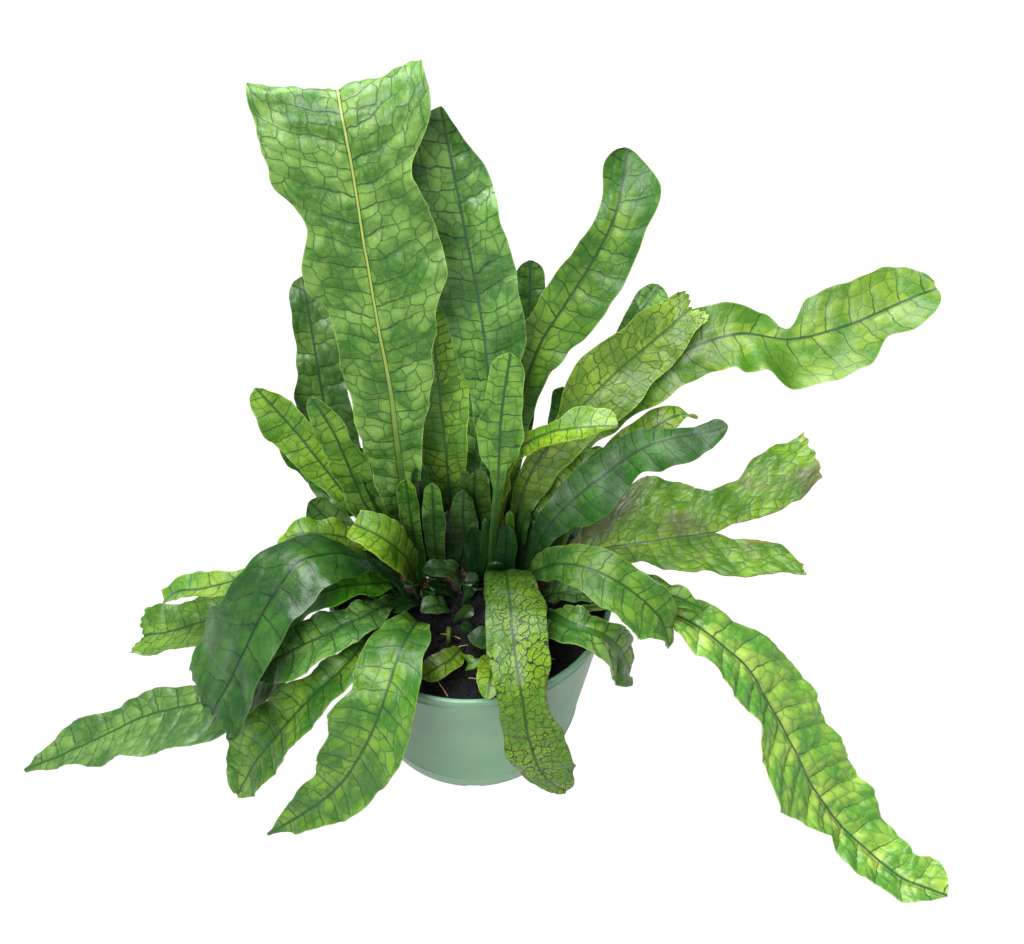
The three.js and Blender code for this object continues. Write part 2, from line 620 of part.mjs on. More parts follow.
// Gathers the squares of a thin sheet and closes them into one solid: each point has a vertex above and one
// below, both faces share their diagonals, and the edges used once get a wall.
class Sheet {
  vertices = [];
  places = new Map();
  triangles = [];

  point({ middle, normal, up, down }) {
    const key = middle.toArray().map((v) => v.toFixed(2)).join(" ");
    if (!this.places.has(key)) {
      this.places.set(key, this.vertices.length / 2);
      this.vertices.push(middle.clone().addScaledVector(normal, up));
      this.vertices.push(middle.clone().addScaledVector(normal, -down));
    }
    return this.places.get(key);
  }

  // A square with its corners in turn about the normal, cut along one diagonal or the other.
  square([a, b, c, d], firstDiagonal) {
    const halves = firstDiagonal ? [[a, b, c], [a, c, d]] : [[a, b, d], [b, c, d]];
    this.triangles.push(...halves.filter((corners) => new Set(corners).size === 3));
  }

  geometry() {
    const index = [];
    const openEdges = new Map();
    for (const [a, b, c] of this.triangles) {
      index.push(2 * a, 2 * b, 2 * c, 2 * a + 1, 2 * c + 1, 2 * b + 1);
      for (const [from, to] of [[a, b], [b, c], [c, a]]) {
        if (!openEdges.delete(`${to} ${from}`)) openEdges.set(`${from} ${to}`, [from, to]);
      }
    }
    for (const [from, to] of openEdges.values()) {
      index.push(2 * to, 2 * from, 2 * from + 1, 2 * to, 2 * from + 1, 2 * to + 1);
    }
    return new THREE.BufferGeometry().setFromPoints(this.vertices).setIndex(index);
  }
}

// A frond: two halves that meet along the midrib, which is a stem at first and a keel under the blade.
function frondGeometry(frond) {
  const outline = outlineOf(frond);
  const places = outline.widest < smallFrond ? [0, 1] : [0, 0.55, 1];
  const stations = stationsOf(frond, outline);
  const sheet = new Sheet();
  for (const side of [1, -1]) {
    const end = frond.name === fork.frond && side < 0 ? fork.minus.end : 1;
    const rows = stations
      .filter((s) => s <= end + 1e-6)
      .map((s, row) => places.map((place) => sheet.point(sheetPoint(frond, outline, s, side, place, row))));
    for (let i = 0; i < rows.length - 1; i++) {
      for (let j = 0; j < places.length - 1; j++) {
        const corners = [rows[i][j], rows[i + 1][j], rows[i + 1][j + 1], rows[i][j + 1]];
        if (side < 0) corners.reverse();
        sheet.square(corners, (i + j) % 2 === 0);
      }
    }
  }
  return sheet.geometry();
}

// The hole that a frond's stem stands in, from below its buried end to above the peat.
function stemHole(frond) {
  const outline = outlineOf(frond);
  const foot = vector(frond.spine[0]);
  const direction = vector(frond.spine[1]).sub(foot).normalize();
  const bottom = outline.curve.getPoint(0).addScaledVector(direction, -holeGap * 2);
  const top = foot.clone().addScaledVector(direction, holeRise);
  const stemAt = (buriedDepth + 7) / outline.length;
  const stem = Math.max(halfWidth(frond, outline, stemAt, 1), halfWidth(frond, outline, stemAt, -1));
  const radius = (stem + holeGap) / Math.cos(Math.PI / holeSides);
  const hole = new THREE.CylinderGeometry(radius, radius, bottom.distanceTo(top), holeSides);
  hole.applyQuaternion(new THREE.Quaternion().setFromUnitVectors(new THREE.Vector3(0, 1, 0), direction));
  return hole.translate(...bottom.add(top).multiplyScalar(0.5).toArray());
}

// A three.js geometry as a manifold-3d solid, and back.
function solid(geometry) {
  const bare = new THREE.BufferGeometry().setIndex(geometry.index);
  bare.setAttribute("position", geometry.getAttribute("position"));
  const merged = mergeVertices(bare, 1e-3);
  const mesh = new wasm.Mesh({
    numProp: 3,
    vertProperties: new Float32Array(merged.getAttribute("position").array),
    triVerts: new Uint32Array(merged.index.array),
  });
  return new wasm.Manifold(mesh);
}

// The largest body of a solid: cutting holes side by side can leave a crumb between them.
function withoutCrumbs(made) {
  return made.decompose().reduce((largest, body) => (body.volume() > largest.volume() ? body : largest));
}

function geometryOf(made) {
  const { vertProperties, triVerts } = made.getMesh();
  const geometry = new THREE.BufferGeometry();
  geometry.setAttribute("position", new THREE.BufferAttribute(vertProperties, 3));
  return geometry.setIndex(new THREE.BufferAttribute(triVerts, 1));
}

// A solid turned about Z, from a profile of [radius, height] points that goes up its outside.
function turned(profile, sides) {
  const points = profile.map(([r, z]) => new THREE.Vector2(r, z));
  return new THREE.LatheGeometry(points, sides).rotateX(Math.PI / 2);
}

// The pot's outer radius at a height.
const potRadius = (z) => lerp(footRadius, rimRadius - rimBead, z / potHeight);

// The pot: a thin tapered wall with a beaded rim and two faint ridges, over a flat floor with drain holes.
function potGeometry() {
  const inside = (z) => potRadius(z) - wall;
  const ridgeAt = (z) => [[potRadius(z), z - 1], [potRadius(z) + ridge, z], [potRadius(z), z + 1]];
  const profile = [
    [0, 0],
    [footRadius - 1, 0],
    [potRadius(1), 1],
    ...ridgeAt(12),
    ...ridgeAt(potHeight - 9),
    [potRadius(potHeight - rimDepth), potHeight - rimDepth],
    [rimRadius, potHeight - rimDepth + 0.8],
    [rimRadius, potHeight - 0.8],
    [rimRadius - 0.8, potHeight],
    [inside(potHeight) + 0.6, potHeight],
    [inside(potHeight), potHeight - 0.8],
    [inside(floorThickness), floorThickness],
    [0, floorThickness],
  ];
  const cuts = [];
  for (let k = 0; k < drains; k++) {
    const angle = (2 * Math.PI * (k + 0.5)) / drains;
    const hole = new THREE.CylinderGeometry(drainRadius, drainRadius, 3 * floorThickness, 12);
    hole.rotateX(Math.PI / 2).translate(drainCircle, 0, 0);
    const channelLength = footRadius + 4 - channelStart;
    const channel = new THREE.BoxGeometry(channelLength, channelWidth, 2 * channelDepth);
    channel.translate(channelStart + channelLength / 2, 0, 0);
    cuts.push(solid(hole.rotateZ(angle)), solid(channel.rotateZ(angle)));
  }
  return geometryOf(solid(turned(profile, potSides)).subtract(wasm.Manifold.union(cuts)));
}

// The peat: it fills the pot to just under the rim, with an uneven top.
function soilBlank() {
  const bottom = floorThickness + soilGap;
  const edge = (z) => potRadius(z) - wall - soilGap;
  const profile = [[0, bottom], [edge(bottom), bottom]];
  for (const share of [1, 0.75, 0.4, 0]) profile.push([edge(soilTop) * share, soilTop]);
  const geometry = turned(profile, soilSides);
  const position = geometry.getAttribute("position");
  for (let i = 0; i < position.count; i++) {
    const x = position.getX(i);
    const y = position.getY(i);
    if (position.getZ(i) < soilTop - 1 || Math.hypot(x, y) > 0.95 * edge(soilTop)) continue;
    const bumps = Math.sin(x * 0.21 + 1.3) * Math.cos(y * 0.17) + 0.6 * Math.sin(x * 0.43 - y * 0.39);
    position.setZ(i, soilTop + soilRoughness * bumps);
  }
  return solid(geometry);
}

// The creeping rhizome that the fronds grow from: a knobbly stem half sunk in the peat, with one branch.
function rhizomeBlank(extra) {
  const stems = rhizomePaths.map((path) => {
    const curve = new THREE.CatmullRomCurve3(path.map(vector));
    const rings = 2 * (path.length - 1);
    const geometry = new THREE.CylinderGeometry(1, 1, 1, rhizomeSides, rings);
    const position = geometry.getAttribute("position");
    for (let i = 0; i < position.count; i++) {
      const t = position.getY(i) + 0.5;
      const knob = 1 + rhizomeKnob * Math.cos(Math.PI * rings * t);
      const radius = (rhizomeRadius * knob + extra) * (t < 0.01 || t > 0.99 ? 0.6 : 1);
      const heading = curve.getTangent(t).cross(new THREE.Vector3(0, 0, 1)).normalize();
      const point = curve.getPoint(t).addScaledVector(heading, radius * position.getX(i));
      position.setXYZ(i, point.x, point.y, point.z + radius * position.getZ(i));
    }
    return solid(geometry);
  });
  return wasm.Manifold.union(stems);
}

const material = (color, roughness) => new THREE.MeshStandardMaterial({ color, roughness, metalness: 0 });

function add(group, name, geometry, look) {
  const mesh = new THREE.Mesh(geometry, look);
  mesh.name = name;
  group.add(mesh);
}

const grown = [...fronds, coiledFrond()];
const holes = wasm.Manifold.union(grown.map((frond) => solid(stemHole(frond))));
const plant = new THREE.Group();
add(plant, "pot", potGeometry(), material(potColour, 0.42));
const bed = withoutCrumbs(soilBlank().subtract(rhizomeBlank(rhizomeGap)).subtract(holes).simplify(finest));
const creeping = withoutCrumbs(rhizomeBlank(0).subtract(holes).simplify(finest));
add(plant, "soil", geometryOf(bed), material(soilColour, 0.95));
add(plant, "rhizome", geometryOf(creeping), material(rhizomeColour, 0.9));
for (const frond of grown) add(plant, frond.name, frondGeometry(frond), material(tones[frond.tone], 0.5));

export default plant;
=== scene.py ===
"""A potted crocodile fern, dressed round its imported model.

Every frond is drawn by the same midrib and half widths as its solid, on a finer grid. One field of veins,
in millimetres along and across the blade, raises the blisters between the veins and colours the leaf.
"""
import math
import random

import bmesh
import bpy
import numpy as np
from mathutils import Matrix, Vector


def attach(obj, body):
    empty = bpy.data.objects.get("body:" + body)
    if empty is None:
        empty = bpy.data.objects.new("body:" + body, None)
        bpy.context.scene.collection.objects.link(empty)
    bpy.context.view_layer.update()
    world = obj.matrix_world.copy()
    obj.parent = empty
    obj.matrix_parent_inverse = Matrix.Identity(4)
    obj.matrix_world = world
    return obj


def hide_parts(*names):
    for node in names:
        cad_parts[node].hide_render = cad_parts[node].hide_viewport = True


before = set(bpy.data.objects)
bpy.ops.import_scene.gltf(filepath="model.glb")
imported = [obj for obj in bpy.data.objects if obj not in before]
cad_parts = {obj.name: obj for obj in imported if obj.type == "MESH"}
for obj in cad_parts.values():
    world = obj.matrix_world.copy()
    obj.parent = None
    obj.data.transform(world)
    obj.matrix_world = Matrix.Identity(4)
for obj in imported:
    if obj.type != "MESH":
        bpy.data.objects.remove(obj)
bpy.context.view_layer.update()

MM = 0.001

# Pot, in millimetres, as the solid has it
POT_HEIGHT = 110
RIM_RADIUS = 77.5
FOOT_RADIUS = 59
WALL = 1.5
FLOOR_THICKNESS = 3.6
RIM_BEAD = 1.2
RIM_DEPTH = 4
RIDGE = 0.7
FOOT_RIDGE = 12
RIM_RIDGE = POT_HEIGHT - 9
DRAINS = 6
DRAIN_RADIUS = 4
DRAIN_CIRCLE = 44
CHANNEL_WIDTH = 8
CHANNEL_DEPTH = 2
CHANNEL_START = 32
POT_STEPS = 180

# Peat and rhizome
SOIL_TOP = 100
SOIL_GAP = 0.4
SOIL_STEPS = 144
SOIL_RINGS = 46
CRUMBS = 1500
CRUMB_SIZES = [0.5, 0.7, 0.9, 1.2, 1.9]
STRAWS = 10
FRONT_STRAWS = 5
RHIZOME_RADIUS = 6.5
RHIZOME_SIDES = 28
RHIZOME_SCALES = 500
RHIZOME_PATHS = [
    [(-50, 14, 97), (-34, 9, 98), (-16, 6, 98), (2, 12, 98), (20, 13, 98), (37, 8, 98), (47, 2, 97)],
    [(-4, 8, 98), (2, 24, 98), (14, 35, 98), (30, 38, 97)],
]

# Fronds
BURIED = 5
BLADE_THICKNESS = 0.55
STEM_THICKNESS = 3.4
STEM_EDGE = 1.2
RIB_HEIGHT = 0.45
KEEL_HEIGHT = 1.3
RAGGED_TIP = 4
SLOW_SWELL = 3.0
STEM_WIDEST = 2
BLADE_EASE = 3
RIB_REACH = 1.3
VEIN_STEP = 1000
FINE_NET = 2.3

# A frond starts as a flat sheet, in which a forked one's lobes are moved this far apart
ROW_SPACING = 1.4
COLUMN_SPACING = 1.5
SHEET_THICKNESS = 0.05
FORK_SHIFT = 2

# Painted shade in the crown: leaves are painted darker towards its centre, for the shadow that neighbours cast
# on each other, from `deep` mm of its centre out to `clear` mm
CROWN_SHADE = dict(centre=(-4, 10, 108), deep=20, clear=105, shade=0.8, colour="0C2410")

# Camera, fitted to the pot's rim and foot in the photograph
PHOTO_WIDTH = 1024
FOCAL_PIXELS = 1200
SENSOR_WIDTH = 36
CAMERA_PLACE = (22.19, -424.40, 611.23)
CAMERA_TILT = 45.58

# Stage, in metres and watts: each softbox with its place, its size and its power
SOFTBOXES = [("top_softbox", (-0.3, 0.55, 1.5), 1.1, 48), ("front_softbox", (-0.5, -0.95, 1.3), 0.8, 33)]
SOFTBOX_AIM = (0, 0, 0.15)
TABLE_HALF_WIDTH = 4
TABLE_DROP = 0.0002


def tone(colours, net, puff, spacing, cell, **own):
    """The look of a leaf.

    The colours are, in turn: the blade between veins, its darker mottling, the glow beside the midrib, the
    veins, the midrib and the margin. `net` is how strongly the small veins show, `puff` the height of the
    blisters in mm, `spacing` the distance between the main side veins and `cell` the width of a cell of the
    net, which is `free` where it follows no rows. `pale_rib` is a light raised midrib, `edge_stain` the
    width of a stained margin, `bruise` a colour in patches and `gloss` the least and the most roughness.
    """
    usual = dict(free=False, fine=0.3, net_width=0.38, side_veins=0.85, rib_glow=0.22, pale_rib=False,
                 edge_stain=None, bruise=None, gloss=(0.3, 0.46))
    return usual | dict(colours=colours.split(), net=net, puff=puff, spacing=spacing, cell=cell) | own


TONES = {
    "bright": tone("6E9543 33651D 87AB3C 133218 9DAF4E A0B85B", 0.7, 2.6, 12, 7.5, pale_rib=True),
    "mid": tone("5D8827 2D6017 7B992C 143112 1E411A 89A446", 0.6, 1.6, 12, 7, gloss=(0.34, 0.5)),
    "dark": tone("6D9C46 39682B 83AF4E 18381F 2E5232 98B36A", 0.6, 2, 11, 6.5, gloss=(0.22, 0.4)),
    "deep": tone("2B541A 153A12 38641D 081A08 09210C 4F7135", 0.2, 0.8, 17, 9, gloss=(0.22, 0.36)),
    "lime": tone("7B9C1C 4A790F 8DA734 26460F 284C16 9CAE4B", 0.5, 1, 8, 5),
    "lime_mid": tone("749C28 417316 8BAA34 1F4316 234A1D A0B654", 0.5, 1.2, 9, 5.5),
    "light": tone("708E2C 416F1B 819C37 193B15 1B3B1D 91A651", 0.45, 1.2, 13, 7),
    "olive": tone("7B982C 4F731E 88A534 203B13 34521C 96B046", 0.9, 1.2, 11, 5.5, side_veins=0.6),
    "olive_green": tone("557A21 335A15 678628 153210 193918 71923D", 0.6, 1.1, 11, 6),
    "olive_brown": tone("3C7219 254C11 47781D 132B0B 19370E 506B27", 0.6, 1.1, 9, 5.5),
    "olive_net": tone("A0CE4C 5F9537 B9E450 315829 437A36 CDF16C", 0.9, 1.2, 10, 5.5),
    "green_dark_edge": tone("68BE22 378916 86D525 1A4B11 27601A A4EB40", 0.5, 1.2, 11, 6.5),
    "glaucous": tone("689836 3A6524 81A939 193B16 24481F 96B94E", 0.5, 1.1, 10, 6),
    "grey": tone("537733 2D551F 648537 143013 1E3D1E 758D47", 0.5, 1.2, 12, 7),
    "blue": tone("2B6011 164308 376C14 082308 0A2B08 4B7C22", 0.35, 0.8, 10, 6.5, gloss=(0.38, 0.52)),
    "net": tone("6C9316 49750F 708A1C 1A2008 223F0A 3D3519", 1, 0.9, 12, 4.6, free=True, fine=0.6,
                net_width=0.5, side_veins=0.4, edge_stain=0.3),
    "net_green": tone("5E9221 316914 78A328 17390C 224915 91B53C", 0.8, 1.1, 8, 5),
    "yellow": tone("89B142 4D882E CED16E 204224 244531 A8C26B", 0.4, 2.2, 14, 8, rib_glow=0.3,
                   gloss=(0.22, 0.4)),
    "bruised": tone("6B941A 3D6A10 819F23 1B3808 23420E 736829", 0.7, 1.1, 11, 5.5, edge_stain=0.6,
                    bruise="4E4A3A"),
    "brown": tone("55832F 344B1C 608E34 1C280D 273814 516527", 0.5, 1, 8, 5, bruise="3A2C22"),
}


def list_value(values, t):
    """The value of an evenly spaced list at t from 0 to 1, eased from one entry to the next."""
    values = np.asarray(values, float)
    if len(values) == 1:
        return np.full(np.shape(t), values[0])
    x = np.clip(t, 0, 1) * (len(values) - 1)
    i = np.minimum(x.astype(int), len(values) - 2)
    part = x - i
    part = part * part * (3 - 2 * part)
    return values[i] * (1 - part) + values[i + 1] * part


def smooth_path(points, per_span=80):
    """A centripetal curve through points, as three.js draws it."""
    points = np.asarray(points, float)
    ends = np.vstack([2 * points[0] - points[1], points, 2 * points[-1] - points[-2]])
    t = (np.arange(per_span) / per_span)[:, None]
    path = []
    for a, b, c, d in zip(ends, ends[1:], ends[2:], ends[3:]):
        first, second, third = [np.sqrt(np.linalg.norm(v)) for v in (b - a, c - b, d - c)]
        leave = ((b - a) / first - (c - a) / (first + second) + (c - b) / second) * second
        arrive = ((c - b) / second - (d - b) / (second + third) + (d - c) / third) * second
        path.append((2 * t**3 - 3 * t**2 + 1) * b + (t**3 - 2 * t**2 + t) * leave
                    + (3 * t**2 - 2 * t**3) * c + (t**3 - t**2) * arrive)
    return np.vstack(path + [points[-1:]])


class Frond:
    """A frond in mm.

    `spine` is its midrib from the peat to the tip, and is carried on straight into the peat. `facing` is the
    heading, in degrees about Z, that it arches towards. `plus` and `minus` are its half widths to each side
    at even steps along it. `wave` is the height, number and phase of its margin waves, `cup` lifts its
    margins and `roll` turns it about its midrib.
    """

    def __init__(self, name, tone, facing, spine, plus, minus=None, wave=(1.5, 5, 0), cup=0.15, tip="round",
                 roll=(0,)):
        self.name, self.tone, self.facing = name, tone, facing
        self.plus, self.minus = plus, minus or plus
        self.wave, self.cup, self.tip, self.roll = wave, cup, tip, roll
        spine = np.asarray(spine, float)
        down = spine[0] - spine[1]
        foot = spine[0] + down / np.linalg.norm(down) * BURIED
        self.path = smooth_path(np.vstack([foot, spine]))
        steps = np.diff(self.path, axis=0)
        lengths = np.linalg.norm(steps, axis=1)
        self.run = np.concatenate([[0], np.cumsum(lengths)])
        self.length = self.run[-1]
        self.ways = np.vstack([steps / lengths[:, None], steps[-1:] / lengths[-1]])

    def at(self, table, s):
        return np.stack([np.interp(s * self.length, self.run, table[:, k]) for k in range(3)], -1)

    def above_soil(self, s):
        return np.clip((s * self.length - BURIED) / (self.length - BURIED), 0, 1)

    def directions(self, s):
        """Across the blade and out of its upper side, at each s."""
        tangent = self.at(self.ways, s)
        tangent /= np.linalg.norm(tangent, axis=1, keepdims=True)
        heading = math.radians(self.facing)
        level = np.array([-math.sin(heading), math.cos(heading), 0])
        level = level - (tangent @ level)[:, None] * tangent
        level /= np.linalg.norm(level, axis=1, keepdims=True)
        normal = np.cross(tangent, level)
        roll = np.radians(list_value(self.roll, s))[:, None]
        across = level * np.cos(roll) + normal * np.sin(roll)
        return across, np.cross(tangent, across)

    def half_width(self, s, side):
        t = self.above_soil(s)
        width = np.where(side > 0, list_value(self.plus, t), list_value(self.minus, t))
        if self.tip != "round":
            return width
        tip_width = (self.plus[-1] + self.minus[-1]) / 2
        round_from = 1 - min(0.5, tip_width / self.length * 1.2)
        e = np.clip((s - round_from) / (1 - round_from), 0, 1)
        return width * np.sqrt(np.maximum(1 - e * e, 0.02))

    def blade_share(self, s):
        """0 on the bare stem, 1 where the blade is wide."""
        t = self.above_soil(s)
        wide = np.maximum(list_value(self.plus, t), list_value(self.minus, t))
        return np.clip((wide - STEM_WIDEST) / BLADE_EASE, 0, 1)

    def fork_gap(self, s, side):
        if self.name != FORK_NAME:
            return np.zeros(len(s))
        past = s - FORK["start"]
        plus = list_value(FORK["plus"], past / (FORK["plus_end"] - FORK["start"]))
        minus = list_value(FORK["minus"], past / (FORK["minus_end"] - FORK["start"]))
        return np.where(past > 1e-6, np.where(side > 0, plus, minus), 0)


